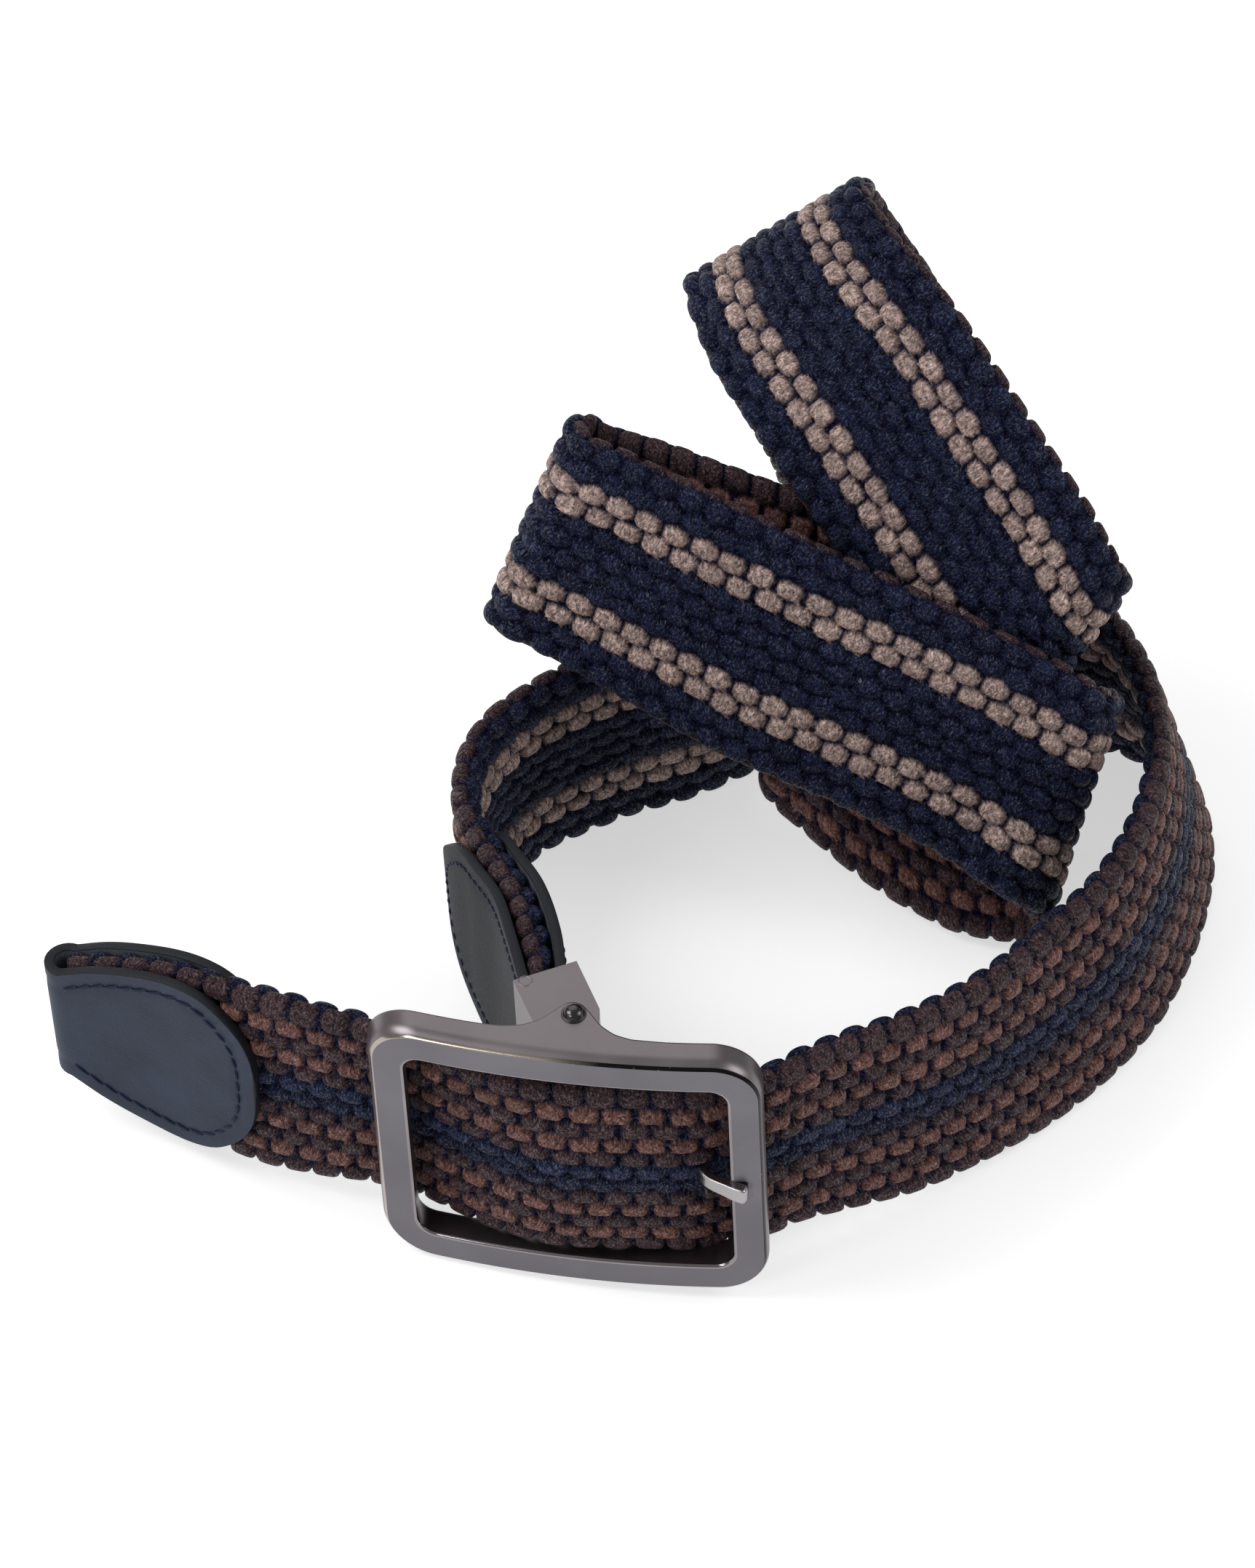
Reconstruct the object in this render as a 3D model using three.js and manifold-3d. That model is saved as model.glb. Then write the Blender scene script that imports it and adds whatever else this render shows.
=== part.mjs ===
// Braided stretch belt, fastened: strap, two folded leather tabs, buckle frame, swivel clip, pin and tongue.
// Millimetres, +Z up, x to the right, y away from the viewer. The belt stands on its lower edge.
import * as THREE from "three";
import { mergeVertices } from "three/addons/utils/BufferGeometryUtils.js";
import Module from "manifold-3d";

const wasm = await Module();
wasm.setup();

// strap section
const STRAP_HALF = 17.5;      // half of the 35 mm width
const STRAP_THICK = 3.8;
const STRAP_BEVEL = 1.1;      // the beaded edge, taken as a bevel
const STRAP_EDGE = 1.4;       // thickness left at the very edge
const STEP_MM = 5.5;            // longest facet along the strap
const STEP_DEG = 13;          // largest turn between two rings

// leather
const LEATHER = 1.2;
const TIP_GAP = 0.4;          // free gap between the strap and the leather at the tip
const CLIP_GAP = 0.55;        // the same at the clip, where the strap turns

// buckle frame
const FRAME_LONG = 54;
const FRAME_TALL = 47.5;
const OPEN_LONG = 44;
const OPEN_TALL = 36.9;
const FRAME_DEEP = 4.7;
const CORNER_OUT = 7;
const CORNER_IN = 2.6;
const FRAME_BOW = 2.4;        // forward bulge of the middle over the half length
const FRAME_SLOPE = -0.18;    // the right end comes nearer to the viewer
const FRAME_ROLL = 2.3;       // degrees that the right end is lifted
const FRAME_X = 0;
const FRAME_Y = -4.25;
const MID_Z = 24.6;           // middle height of the buckle
const FRAME_LOW = MID_Z - FRAME_TALL / 2;
const FRAME_TOP = MID_Z + FRAME_TALL / 2;
const LUG_THICK = 3.3;

// swivel clip: axis from the mouth to the pivot, seen from above
const CLIP_MOUTH = [-2.7, 15.3];
const CLIP_AXIS = [0.35, -0.937];
const CLIP_PIVOT = 12.2;
const CLIP_LOW = MID_Z - 19.9;
const CLIP_HIGH = MID_Z + 19.9;
const CLIP_WALL_END = 1.5;
const CAVITY_DEEP = 6.9;
const CAVITY_SIDE = [-3.5, 3.7];
const PIN_R = 1.0;

// Run of the strap from the clip to the tip: middle of the strap, sideways offset of its top edge
// from its middle (ox, oy), and half width there.
const RUN = [
  { at: "in the clip", x: -1.7, y: 12.7, z: 24.6, ox: -0.7, oy: 0, half: 17, thick: 2.8 },
  { at: "clip mouth", x: -2.75, y: 15.5, z: 24.6, ox: -0.7, oy: 0, half: 17, thick: 2.8 },
  { at: "clip tab", x: -4.5, y: 25.2, z: 23.8, ox: 0.6, oy: 0, half: 17.3 },
  { at: "clip tab", x: -7, y: 34.8, z: 22, ox: 1.4, oy: 0, half: 17.5 },
  { at: "clip tab end", x: -10.8, y: 45.2, z: 19.7, ox: 0.7, oy: 0, half: 17.5 },
  { at: "left bend", x: -14.4, y: 56.5, z: 18.1, ox: -0.8, oy: 0, half: 17.5 },
  { at: "left bend", x: -12.6, y: 69, z: 17.5, ox: -0.8, oy: 0, half: 17.5 },
  { at: "left bend", x: -6, y: 78, z: 17.5, ox: 0, oy: 0, half: 17.5 },
  { at: "inner run", x: 7, y: 86, z: 17.5, ox: 0, oy: 0, half: 17.5 },
  { at: "inner run", x: 19, y: 91, z: 17.5, ox: 0, oy: 0, half: 17.5 },
  { at: "under the bundle", x: 29, y: 98, z: 17.6, ox: -1, oy: -1, half: 17.5 },
  { at: "under the bundle", x: 36.5, y: 106, z: 19.8, ox: -1, oy: -5, half: 17.5 },
  { at: "climbing", x: 42, y: 111.5, z: 25, ox: 6.5, oy: -9.5, half: 17.5 },
  { at: "climbing", x: 45.5, y: 115.3, z: 31.5, ox: 12.8, oy: -9, half: 17.5 },
  { at: "climbing", x: 47, y: 118.3, z: 39, ox: 16, oy: -3.5, half: 17.5 },
  { at: "climbing", x: 45.8, y: 119.8, z: 47, ox: 16.5, oy: 1.2, half: 17.5 },
  { at: "climbing", x: 39.9, y: 121.5, z: 59.2, ox: 14.4, oy: 2.2, half: 17.5 },
  { at: "top fold", x: 32.2, y: 125.6, z: 72.5, ox: 13.2, oy: 0.5, half: 17.5 },
  { at: "top fold", x: 29.8, y: 125.5, z: 78.8, ox: 13, oy: -1.2, half: 17.5 },
  { at: "top fold", x: 29.2, y: 120.7, z: 82.3, ox: 12.4, oy: -2.2, half: 17.5 },
  { at: "upper run", x: 32, y: 111.3, z: 82.1, ox: 12.3, oy: 0.6, half: 17.5 },
  { at: "upper run", x: 40.5, y: 97.3, z: 78.8, ox: 12.6, oy: 2.8, half: 17.5 },
  { at: "upper run", x: 50.8, y: 86.1, z: 68.6, ox: 13, oy: 2.2, half: 17.5 },
  { at: "upper run", x: 60.6, y: 77.2, z: 56.7, ox: 13, oy: 2.6, half: 17.5 },
  { at: "right fold", x: 66, y: 73, z: 48.5, ox: 11.8, oy: 3.6, half: 17.5 },
  { at: "right fold", x: 69.3, y: 74, z: 43.6, ox: 9.6, oy: 5, half: 17.5 },
  { at: "right fold", x: 69, y: 79.5, z: 40.5, ox: 6.4, oy: 6.4, half: 17.5 },
  { at: "right fold", x: 65.5, y: 82.7, z: 40, ox: 3.5, oy: 7.2, half: 17.5 },
  { at: "back run", x: 58, y: 83, z: 40.3, ox: 1.6, oy: 7.6, half: 17.5 },
  { at: "back run", x: 44, y: 83.6, z: 41.5, ox: 1.2, oy: 8, half: 17.5 },
  { at: "back run", x: 28, y: 84.5, z: 46, ox: 2.4, oy: 8.2, half: 17.5 },
  { at: "back run", x: 10, y: 87, z: 51.9, ox: 4, oy: 8.6, half: 17.5 },
  { at: "left fold", x: 0, y: 89.8, z: 54.8, ox: 5.2, oy: 5.6, half: 17.5 },
  { at: "left fold", x: -3.4, y: 90.3, z: 57.6, ox: 6, oy: 4.3, half: 17.5 },
  { at: "left fold", x: -5.2, y: 87.5, z: 59, ox: 6.2, oy: 3.8, half: 17.5 },
  { at: "left fold", x: -3.8, y: 84.5, z: 59.3, ox: 6.2, oy: 3.6, half: 17.5 },
  { at: "left fold", x: 0, y: 83, z: 58.6, ox: 6.1, oy: 3.7, half: 17.5 },
  { at: "middle run", x: 10, y: 78.9, z: 55.4, ox: 5.9, oy: 4.4, half: 17.5 },
  { at: "middle run", x: 28, y: 72.3, z: 48.8, ox: 6.4, oy: 6, half: 17.5 },
  { at: "middle run", x: 46, y: 67.3, z: 42.3, ox: 7.4, oy: 4.8, half: 17.5 },
  { at: "middle run", x: 60.5, y: 63, z: 36.3, ox: 8, oy: 4.4, half: 17.5 },
  { at: "low right fold", x: 68, y: 60.6, z: 31.8, ox: 7.4, oy: 5.6, half: 17.5 },
  { at: "low right fold", x: 71.6, y: 62.4, z: 27.6, ox: 6, oy: 8, half: 17.5 },
  { at: "low right fold", x: 71.6, y: 67, z: 20.6, ox: 4, oy: 10.6, half: 17.5 },
  { at: "lower run", x: 66.5, y: 70, z: 15.6, ox: 1.4, oy: 12, half: 17.5 },
  { at: "lower run", x: 56, y: 73, z: 14.4, ox: 0, oy: 12.3, half: 17.5 },
  { at: "lower run", x: 46, y: 78, z: 16.4, ox: 0, oy: 11, half: 17.5 },
  { at: "lower run", x: 38, y: 82.6, z: 19, ox: 0, oy: 7.6, half: 17.5 },
  { at: "hidden fold", x: 33, y: 85.3, z: 20.4, ox: 0, oy: 4, half: 17.5 },
  { at: "hidden fold", x: 30.4, y: 87.2, z: 20.8, ox: 0, oy: 2.6, half: 17.5 },
  { at: "hidden fold", x: 29.4, y: 89.8, z: 20.8, ox: 0, oy: 1.4, half: 17.5 },
  { at: "hidden fold", x: 30.4, y: 92.4, z: 20.6, ox: 0, oy: 0.6, half: 17.5 },
  { at: "hidden fold", x: 33.2, y: 93.8, z: 20.2, ox: 0, oy: 0, half: 17.5 },
  { at: "outer run", x: 43, y: 94.2, z: 18.5, ox: 0, oy: 0, half: 17.5 },
  { at: "outer run", x: 57, y: 95.8, z: 17.5, ox: 0, oy: -1, half: 17.5 },
  { at: "outer run", x: 70, y: 98, z: 17.5, ox: -1, oy: -2, half: 17.5 },
  { at: "right bend", x: 79.5, y: 96.5, z: 17.4, ox: -3, oy: -2, half: 17.5 },
  { at: "right bend", x: 85, y: 90, z: 17.3, ox: -5, oy: -1.5, half: 17.5 },
  { at: "right bend", x: 87.8, y: 79, z: 17.3, ox: -5, oy: 0, half: 17.5 },
  { at: "right bend", x: 86.6, y: 62, z: 17.4, ox: -3.5, oy: 1, half: 17.5 },
  { at: "front run", x: 79.5, y: 44, z: 17.5, ox: -2.6, oy: 1.6, half: 17.5 },
  { at: "front run", x: 69, y: 31, z: 17.5, ox: -1.7, oy: 2.2, half: 17.5 },
  { at: "front run", x: 57.5, y: 19.8, z: 18.9, ox: -0.8, oy: 1.3, half: 17.5 },
  { at: "front run", x: 46.7, y: 12.2, z: 20.2, ox: -0.4, oy: 0.9, half: 17.5 },
  { at: "beside the buckle", x: 38.5, y: 7.8, z: 21.6, ox: -0.2, oy: 0.5, half: 17.4 },
  { at: "beside the buckle", x: 31.6, y: 3.9, z: 22.8, ox: 0, oy: 0, half: 17.2 },
  { at: "behind the right bar", x: 27.5, y: 2, z: 23.4, ox: 0, oy: 0, half: 16.9 },
  { at: "behind the right bar", x: 22, y: 0.6, z: 23.9, ox: 0, oy: 0, half: 16.8 },
  { at: "in the frame", x: 17.3, y: -1.3, z: 24.3, ox: 0, oy: 0, half: 16.8 },
  { at: "in the frame", x: 12.2, y: -1.9, z: 24.4, ox: 0, oy: 0, half: 16.8 },
  { at: "in the frame", x: 5, y: -2, z: 24.3, ox: 0, oy: 0, half: 16.8 },
  { at: "in the frame", x: -2.5, y: -1.2, z: 24.1, ox: 0, oy: 0, half: 16.8 },
  { at: "in the frame", x: -10.6, y: 1.5, z: 23.7, ox: 0, oy: -0.4, half: 16.8 },
  { at: "in the frame", x: -16.3, y: 4.9, z: 23.3, ox: 0, oy: -0.7, half: 16.8 },
  { at: "behind the left bar", x: -21, y: 8.5, z: 22.6, ox: 0, oy: -0.4, half: 16.8 },
  { at: "behind the left bar", x: -26.8, y: 11.2, z: 21.8, ox: 0, oy: -0.4, half: 16.9 },
  { at: "beside the buckle", x: -33.9, y: 13.6, z: 21.1, ox: 0, oy: 0, half: 17.2 },
  { at: "tip run", x: -43, y: 17.4, z: 20.1, ox: -0.2, oy: 0.3, half: 17.5 },
  { at: "tip tab", x: -57, y: 24.9, z: 18.9, ox: -0.5, oy: 0.3, half: 16.2, thick: 3 },
  { at: "tip", x: -70.2, y: 31, z: 18.2, ox: -0.9, oy: 0.7, half: 11, thick: 3 },
];

// Outline of a folded leather tab: distance back from the strap's end, half width of the leather.
const TIP_TAB = [
  { back: 0, half: 10.4 },
  { back: 5, half: 13 },
  { back: 10, half: 14.8 },
  { back: 16, half: 16.2 },
  { back: 20, half: 16.3 },
  { back: 23.5, half: 15.4 },
  { back: 26.5, half: 13.2 },
  { back: 29, half: 10.2 },
  { back: 30.4, half: 6.8 },
  { back: 31, half: 3.2 },
];
const CLIP_TAB = [
  { back: 0, half: 17 },
  { back: 3.5, half: 17 },
  { back: 12, half: 17.2 },
  { back: 24, half: 17.4 },
  { back: 31, half: 16.8 },
  { back: 36, half: 15.2 },
  { back: 40, half: 12.6 },
  { back: 43, half: 9 },
  { back: 44.6, half: 5.4 },
  { back: 45.2, half: 2.4 },
];

// Plan of a lug: x along the frame, y behind the front face line.
const LUG_PLAN = [
  { x: -15, y: 2.2 },
  { x: 14, y: 2.2 },
  { x: 14, y: 3.4 },
  { x: 9.3, y: 4.9 },
  { x: 7, y: 5.6 },
  { x: 5, y: 7.2 },
  { x: 3.7, y: 9.4 },
  { x: 2.7, y: 10.6 },
  { x: 1.2, y: 10.9 },
  { x: 0, y: 10.1 },
  { x: -1.6, y: 8.4 },
  { x: -3.2, y: 6.9 },
  { x: -5.5, y: 5.6 },
  { x: -8.2, y: 5 },
  { x: -15, y: 3.3 },
];

// Tongue from its eye on the pin, behind the strap, through it and over the right bar.
const TONGUE = [
  { x: 3.3, y: 3.8, z: 24.6, wide: 3.1, thick: 2 },
  { x: 7, y: 2.7, z: 24.5, wide: 3.1, thick: 2 },
  { x: 11.5, y: 1.6, z: 24.3, wide: 3.2, thick: 2 },
  { x: 15, y: -0.5, z: 24.2, wide: 3.3, thick: 2 },
  { x: 18.5, y: -3.6, z: 24.1, wide: 3.4, thick: 2.1 },
  { x: 21.4, y: -5.9, z: 24.1, wide: 3.4, thick: 2.2 },
  { x: 22.9, y: -6.8, z: 24.1, wide: 3.3, thick: 2.2 },
  { x: 23.9, y: -7.2, z: 24.1, wide: 2.5, thick: 1.9 },
  { x: 24.4, y: -7.4, z: 24.1, wide: 1.4, thick: 1.1 },
];
const EYE_R = 2.2;

const COLOR = { strap: 0x3b2f33, leather: 0x323e4e, metal: 0x70696e, dark: 0x3c393d };

const add = (a, b, k = 1) => [a[0] + b[0] * k, a[1] + b[1] * k, a[2] + b[2] * k];
const sub = (a, b) => add(a, b, -1);
const dot = (a, b) => a[0] * b[0] + a[1] * b[1] + a[2] * b[2];
const cross = (a, b) => [a[1] * b[2] - a[2] * b[1], a[2] * b[0] - a[0] * b[2], a[0] * b[1] - a[1] * b[0]];
const unit = (a) => {
  const l = Math.hypot(...a);
  return [a[0] / l, a[1] / l, a[2] / l];
};

// Smooth curve through rows of numbers, the first three being a place.
function curve(rows, t) {
  const n = rows.length - 1;
  const i = Math.min(Math.floor(t), n - 1);
  const u = t - i;
  const p = [rows[Math.max(i - 1, 0)], rows[i], rows[i + 1], rows[Math.min(i + 2, n)]];
  const gap = (a, b) => Math.sqrt(Math.max(Math.hypot(a[0] - b[0], a[1] - b[1], a[2] - b[2]), 1e-6));
  const d = [gap(p[0], p[1]), gap(p[1], p[2]), gap(p[2], p[3])];
  const h = [2 * u ** 3 - 3 * u * u + 1, u ** 3 - 2 * u * u + u, -2 * u ** 3 + 3 * u * u, u ** 3 - u * u];
  return p[1].map((v, k) => {
    const e = p[2][k] - v;
    let m1 = e;
    let m2 = e;
    if (i > 0) m1 = d[1] * ((v - p[0][k]) / d[0] - (p[2][k] - p[0][k]) / (d[0] + d[1]) + e / d[1]);
    if (i < n - 1) {
      m2 = d[1] * (e / d[1] - (p[3][k] - v) / (d[1] + d[2]) + (p[3][k] - p[2][k]) / d[2]);
    }
    return h[0] * v + h[1] * m1 + h[2] * p[2][k] + h[3] * m2;
  });
}

const runRows = RUN.map((r) => [r.x, r.y, r.z, r.ox, r.oy, r.half, r.thick ?? STRAP_THICK]);

// Place, direction, width direction and face direction of the strap at row number t.
function strapFrame(t) {
  const n = runRows.length - 1;
  const c = curve(runRows, t);
  const a = curve(runRows, Math.max(t - 0.02, 0));
  const b = curve(runRows, Math.min(t + 0.02, n));
  const along = unit(sub(b, a));
  const ox = c[3] / STRAP_HALF;
  const oy = c[4] / STRAP_HALF;
  const wide = [ox, oy, Math.sqrt(Math.max(1 - ox * ox - oy * oy, 0))];
  return { at: [c[0], c[1], c[2]], along, wide, face: unit(cross(along, wide)), half: c[5], thick: c[6] };
}
const onStrap = (f, s, u, v) => add(add(add(f.at, f.along, s), f.wide, u), f.face, v);

// Closed solid through a list of rings with the same number of corners. The cap lists the triangles
// of an end that isn't convex.
function loft(rings, closed = false, cap = null) {
  const m = rings[0].length;
  const pos = rings.flat();
  const tri = [];
  const count = closed ? rings.length : rings.length - 1;
  for (let i = 0; i < count; i++) {
    const j = (i + 1) % rings.length;
    for (let k = 0; k < m; k++) {
      const l = (k + 1) % m;
      tri.push([i * m + k, j * m + k, j * m + l], [i * m + k, j * m + l, i * m + l]);
    }
  }
  if (!closed) {
    const e = (rings.length - 1) * m;
    const ends = cap ?? Array.from({ length: m - 2 }, (_, k) => [0, k + 1, k + 2]);
    for (const [a, b, c] of ends) tri.push([a, b, c], [e + a, e + c, e + b]);
  }
  let volume = 0;
  for (const [a, b, c] of tri) volume += dot(pos[a], cross(pos[b], pos[c]));
  const faces = volume < 0 ? tri.map(([a, b, c]) => [a, c, b]) : tri;
  return new wasm.Manifold(new wasm.Mesh({
    numProp: 3,
    vertProperties: new Float32Array(pos.flat()),
    triVerts: new Uint32Array(faces.flat()),
  }));
}

function prism(plan, low, high) {
  const area = plan.reduce((sum, [x, y], k) => {
    const [nx, ny] = plan[(k + 1) % plan.length];
    return sum + x * ny - nx * y;
  }, 0);
  const turned = area < 0 ? [...plan].reverse() : plan;
  const cap = THREE.ShapeUtils.triangulateShape(turned.map(([x, y]) => new THREE.Vector2(x, y)), []);
  return loft([turned.map(([x, y]) => [x, y, low]), turned.map(([x, y]) => [x, y, high])], false, cap);
}
function disc(x, y, r, n = 20) {
  return Array.from({ length: n }, (_, k) => {
    const a = (2 * Math.PI * k) / n;
    return [x + r * Math.cos(a), y + r * Math.sin(a)];
  });
}

function strap() {
  const rings = [];
  const n = runRows.length - 1;
  for (let i = 0; i < n; i++) {
    const a = strapFrame(i);
    const b = strapFrame(i + 1);
    const long = Math.hypot(...sub(b.at, a.at));
    const turn = (Math.acos(Math.min(dot(a.along, b.along), 1)) * 180) / Math.PI;
    const roll = (Math.acos(Math.min(dot(a.wide, b.wide), 1)) * 180) / Math.PI;
    const steps = Math.max(1, Math.ceil(long / STEP_MM), Math.ceil(Math.max(turn, roll) / STEP_DEG));
    for (let k = 0; k < steps; k++) rings.push(strapRing(i + k / steps));
  }
  rings.push(strapRing(n));
  return loft(rings);
}
function strapRing(t) {
  const f = strapFrame(t);
  const e = STRAP_EDGE / 2;
  const v = f.thick / 2;
  const w = f.half;
  const i = w - STRAP_BEVEL;
  const section = [[w, -e], [w, e], [i, v], [-i, v], [-w, e], [-w, -e], [-i, -v], [i, -v]];
  return section.map(([a, b]) => onStrap(f, 0, a, b));
}

// Row number that lies a given distance along the strap from one of its ends.
function rowAt(distance, fromTip) {
  const n = runRows.length - 1;
  let t = fromTip ? n : 0;
  let last = strapFrame(t).at;
  let left = distance;
  while (left > 0) {
    t += fromTip ? -0.02 : 0.02;
    const next = strapFrame(t).at;
    left -= Math.hypot(...sub(next, last));
    last = next;
  }
  return t;
}

// Leather folded round a strap end: one layer in, the fold, the other layer back.
function tab(outline, fromTip) {
  const lift = (fromTip ? TIP_GAP : CLIP_GAP) + LEATHER / 2;
  const fine = [];
  for (let i = 0; i < outline.length - 1; i++) {
    const steps = Math.ceil((outline[i + 1].back - outline[i].back) / 3);
    for (let k = 0; k < steps; k++) {
      const u = k / steps;
      fine.push({
        back: outline[i].back + (outline[i + 1].back - outline[i].back) * u,
        half: outline[i].half + (outline[i + 1].half - outline[i].half) * u,
      });
    }
  }
  fine.push(outline[outline.length - 1]);
  const out = fromTip ? 1 : -1;
  const rings = [];
  const ring = (f, s, v, ns, nv, half) => {
    const h = LEATHER / 2;
    rings.push([[half, -h], [half, h], [-half, h], [-half, -h]].map(
      ([a, b]) => onStrap(f, s + ns * b, a, v + nv * b)));
  };
  for (const r of [...fine].reverse()) {
    const f = strapFrame(rowAt(r.back, fromTip));
    ring(f, 0, f.thick / 2 + lift, 0, 1, r.half);
  }
  const end = strapFrame(fromTip ? runRows.length - 1 : 0);
  const mid = end.thick / 2 + lift;
  for (let k = 1; k < 8; k++) {
    const a = (Math.PI * k) / 8;
    const s = out * Math.sin(a);
    ring(end, s * mid, mid * Math.cos(a), s, Math.cos(a), outline[0].half);
  }
  for (const r of fine) {
    const f = strapFrame(rowAt(r.back, fromTip));
    ring(f, 0, -f.thick / 2 - lift, 0, -1, r.half);
  }
  return loft(rings);
}

// Depth position of the frame's front face above a point x of its length.
const frontY = (x) => FRAME_Y + FRAME_SLOPE * x + FRAME_BOW * ((x - FRAME_X) / (FRAME_LONG / 2)) ** 2;

function roundedLoop(long, tall, r, perCorner) {
  const out = [];
  const corners = [[1, 1, 0], [-1, 1, 90], [-1, -1, 180], [1, -1, 270]];
  for (const [sx, sz, start] of corners) {
    for (let k = 0; k <= perCorner; k++) {
      const a = ((start + (90 * k) / perCorner) * Math.PI) / 180;
      out.push([sx * (long / 2 - r) + r * Math.cos(a), sz * (tall / 2 - r) + r * Math.sin(a)]);
    }
    const next = corners[(corners.indexOf(corners.find((c) => c[2] === start)) + 1) % 4];
    const a = ((start + 90) * Math.PI) / 180;
    const from = out[out.length - 1];
    const to = [next[0] * (long / 2 - r) + r * Math.cos(a), next[1] * (tall / 2 - r) + r * Math.sin(a)];
    for (let k = 1; k < 6; k++) out.push([from[0] + ((to[0] - from[0]) * k) / 6, from[1] + ((to[1] - from[1]) * k) / 6]);
  }
  return out;
}

// Turns a piece of the buckle about its middle, so that the frame's right end is lifted.
const rolled = (solid) => solid.translate([-FRAME_X, 0, -MID_Z]).rotate([0, -FRAME_ROLL, 0]).translate([FRAME_X, 0, MID_Z]);

function buckleFrame() {
  const outer = roundedLoop(FRAME_LONG, FRAME_TALL, CORNER_OUT, 5);
  const inner = roundedLoop(OPEN_LONG, OPEN_TALL, CORNER_IN, 5);
  const d = FRAME_DEEP;
  // section across a bar: share of the way from the opening to the outside, depth behind the front face
  const section = [
    [0, 0.5], [0.1, 0], [0.5, 0], [0.84, 0.05], [1, 0.9], [1, d - 0.5], [0.9, d], [0.1, d], [0, d - 0.5],
  ];
  const rings = outer.map((o, k) => section.map(([s, y]) => {
    const x = FRAME_X + inner[k][0] + (o[0] - inner[k][0]) * s;
    const z = MID_Z + inner[k][1] + (o[1] - inner[k][1]) * s;
    return [x, frontY(x) + y, z];
  }));
  let body = loft(rings, true);
  const bend = LUG_PLAN.map((r) => [FRAME_X + r.x, frontY(FRAME_X + r.x) + r.y]);
  const skin = 0.2;
  body = body.add(prism(bend, FRAME_LOW + skin, FRAME_LOW + LUG_THICK));
  body = body.add(prism(bend, FRAME_TOP - LUG_THICK, FRAME_TOP - skin));
  const p = pivot();
  body = body.subtract(prism(disc(p[0], p[1], PIN_R + 0.3), FRAME_LOW - 1, FRAME_TOP + 1));
  return rolled(body).subtract(loft(tongueRings(0.33)));
}

function pivot() {
  return [CLIP_MOUTH[0] + CLIP_AXIS[0] * CLIP_PIVOT, CLIP_MOUTH[1] + CLIP_AXIS[1] * CLIP_PIVOT];
}
// s along the clip from its mouth, t to the right of that axis as seen from the mouth
const onClip = ([s, t]) => [
  CLIP_MOUTH[0] + CLIP_AXIS[0] * s - CLIP_AXIS[1] * t,
  CLIP_MOUTH[1] + CLIP_AXIS[1] * s + CLIP_AXIS[0] * t,
];

function clip() {
  const plan = [[0, -4.6], [10, -4.6], [13.6, -2.4], [14.4, 0], [13.6, 2.4], [11.8, 3.6], [9.4, 4.6], [0, 4.7]];
  let body = prism(plan.map(onClip), CLIP_LOW, CLIP_HIGH);
  const cavity = [[-1, CAVITY_SIDE[0]], [CAVITY_DEEP, CAVITY_SIDE[0]], [CAVITY_DEEP, CAVITY_SIDE[1]], [-1, CAVITY_SIDE[1]]];
  body = body.subtract(prism(cavity.map(onClip), CLIP_LOW + CLIP_WALL_END, CLIP_HIGH - CLIP_WALL_END));
  const slot = [[9.3, -6], [16, -6], [16, 6], [9.3, 6]];
  body = body.subtract(prism(slot.map(onClip), MID_Z - 2.2, MID_Z + 2.2));
  const p = pivot();
  return rolled(body.subtract(prism(disc(p[0], p[1], PIN_R + 0.3), 0, FRAME_TOP)));
}

function pin() {
  const p = pivot();
  const h = FRAME_TOP;
  const rings = [[FRAME_LOW + 0.3, PIN_R], [h + 0.35, PIN_R], [h + 0.35, 1.55], [h + 0.75, 1.45], [h + 1.1, 1.0], [h + 1.25, 0.4]];
  return rolled(loft(rings.map(([z, r]) => disc(p[0], p[1], r).map(([x, y]) => [x, y, z]))));
}

function tongueRings(extra) {
  return TONGUE.map((r, i) => {
    const a = TONGUE[Math.max(i - 1, 0)];
    const b = TONGUE[Math.min(i + 1, TONGUE.length - 1)];
    const along = unit([b.x - a.x, b.y - a.y, b.z - a.z]);
    const up = unit(add([0, 0, 1], along, -along[2]));
    const side = cross(along, up);
    const w = r.wide / 2 + extra;
    const t = r.thick / 2 + extra;
    const c = 0.45;
    const corners = [[w, t - c], [w - c, t], [c - w, t], [-w, t - c], [-w, c - t], [c - w, -t], [w - c, -t], [w, c - t]];
    const at = add([r.x, r.y, r.z], along, i === TONGUE.length - 1 ? extra : 0);
    return corners.map(([u, v]) => add(add(at, up, u), side, v));
  });
}
function tongue() {
  const p = pivot();
  const eye = prism(disc(p[0], p[1], EYE_R), MID_Z - 1.6, MID_Z + 1.6);
  const hole = prism(disc(p[0], p[1], PIN_R + 0.3), 0, FRAME_TOP);
  return loft(tongueRings(0)).add(rolled(eye)).subtract(rolled(hole));
}

const pieces = [
  ["strap", strap().subtract(loft(tongueRings(0.35))), COLOR.strap, 0.9, 0],
  ["tip_tab", tab(TIP_TAB, true), COLOR.leather, 0.6, 0],
  ["clip_tab", tab(CLIP_TAB, false), COLOR.leather, 0.6, 0],
  ["buckle_frame", buckleFrame(), COLOR.metal, 0.35, 1],
  ["swivel_clip", clip(), COLOR.metal, 0.35, 1],
  ["pivot_pin", pin(), COLOR.dark, 0.4, 1],
  ["tongue", tongue(), COLOR.metal, 0.35, 1],
];

// The origin is put at the middle of the bottom of the whole.
const low = [Infinity, Infinity, Infinity];
const high = [-Infinity, -Infinity, -Infinity];
for (const [, solid] of pieces) {
  const box = solid.boundingBox();
  for (let k = 0; k < 3; k++) {
    low[k] = Math.min(low[k], box.min[k]);
    high[k] = Math.max(high[k], box.max[k]);
  }
}
const move = [-(low[0] + high[0]) / 2, -(low[1] + high[1]) / 2, -low[2]];

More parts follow.
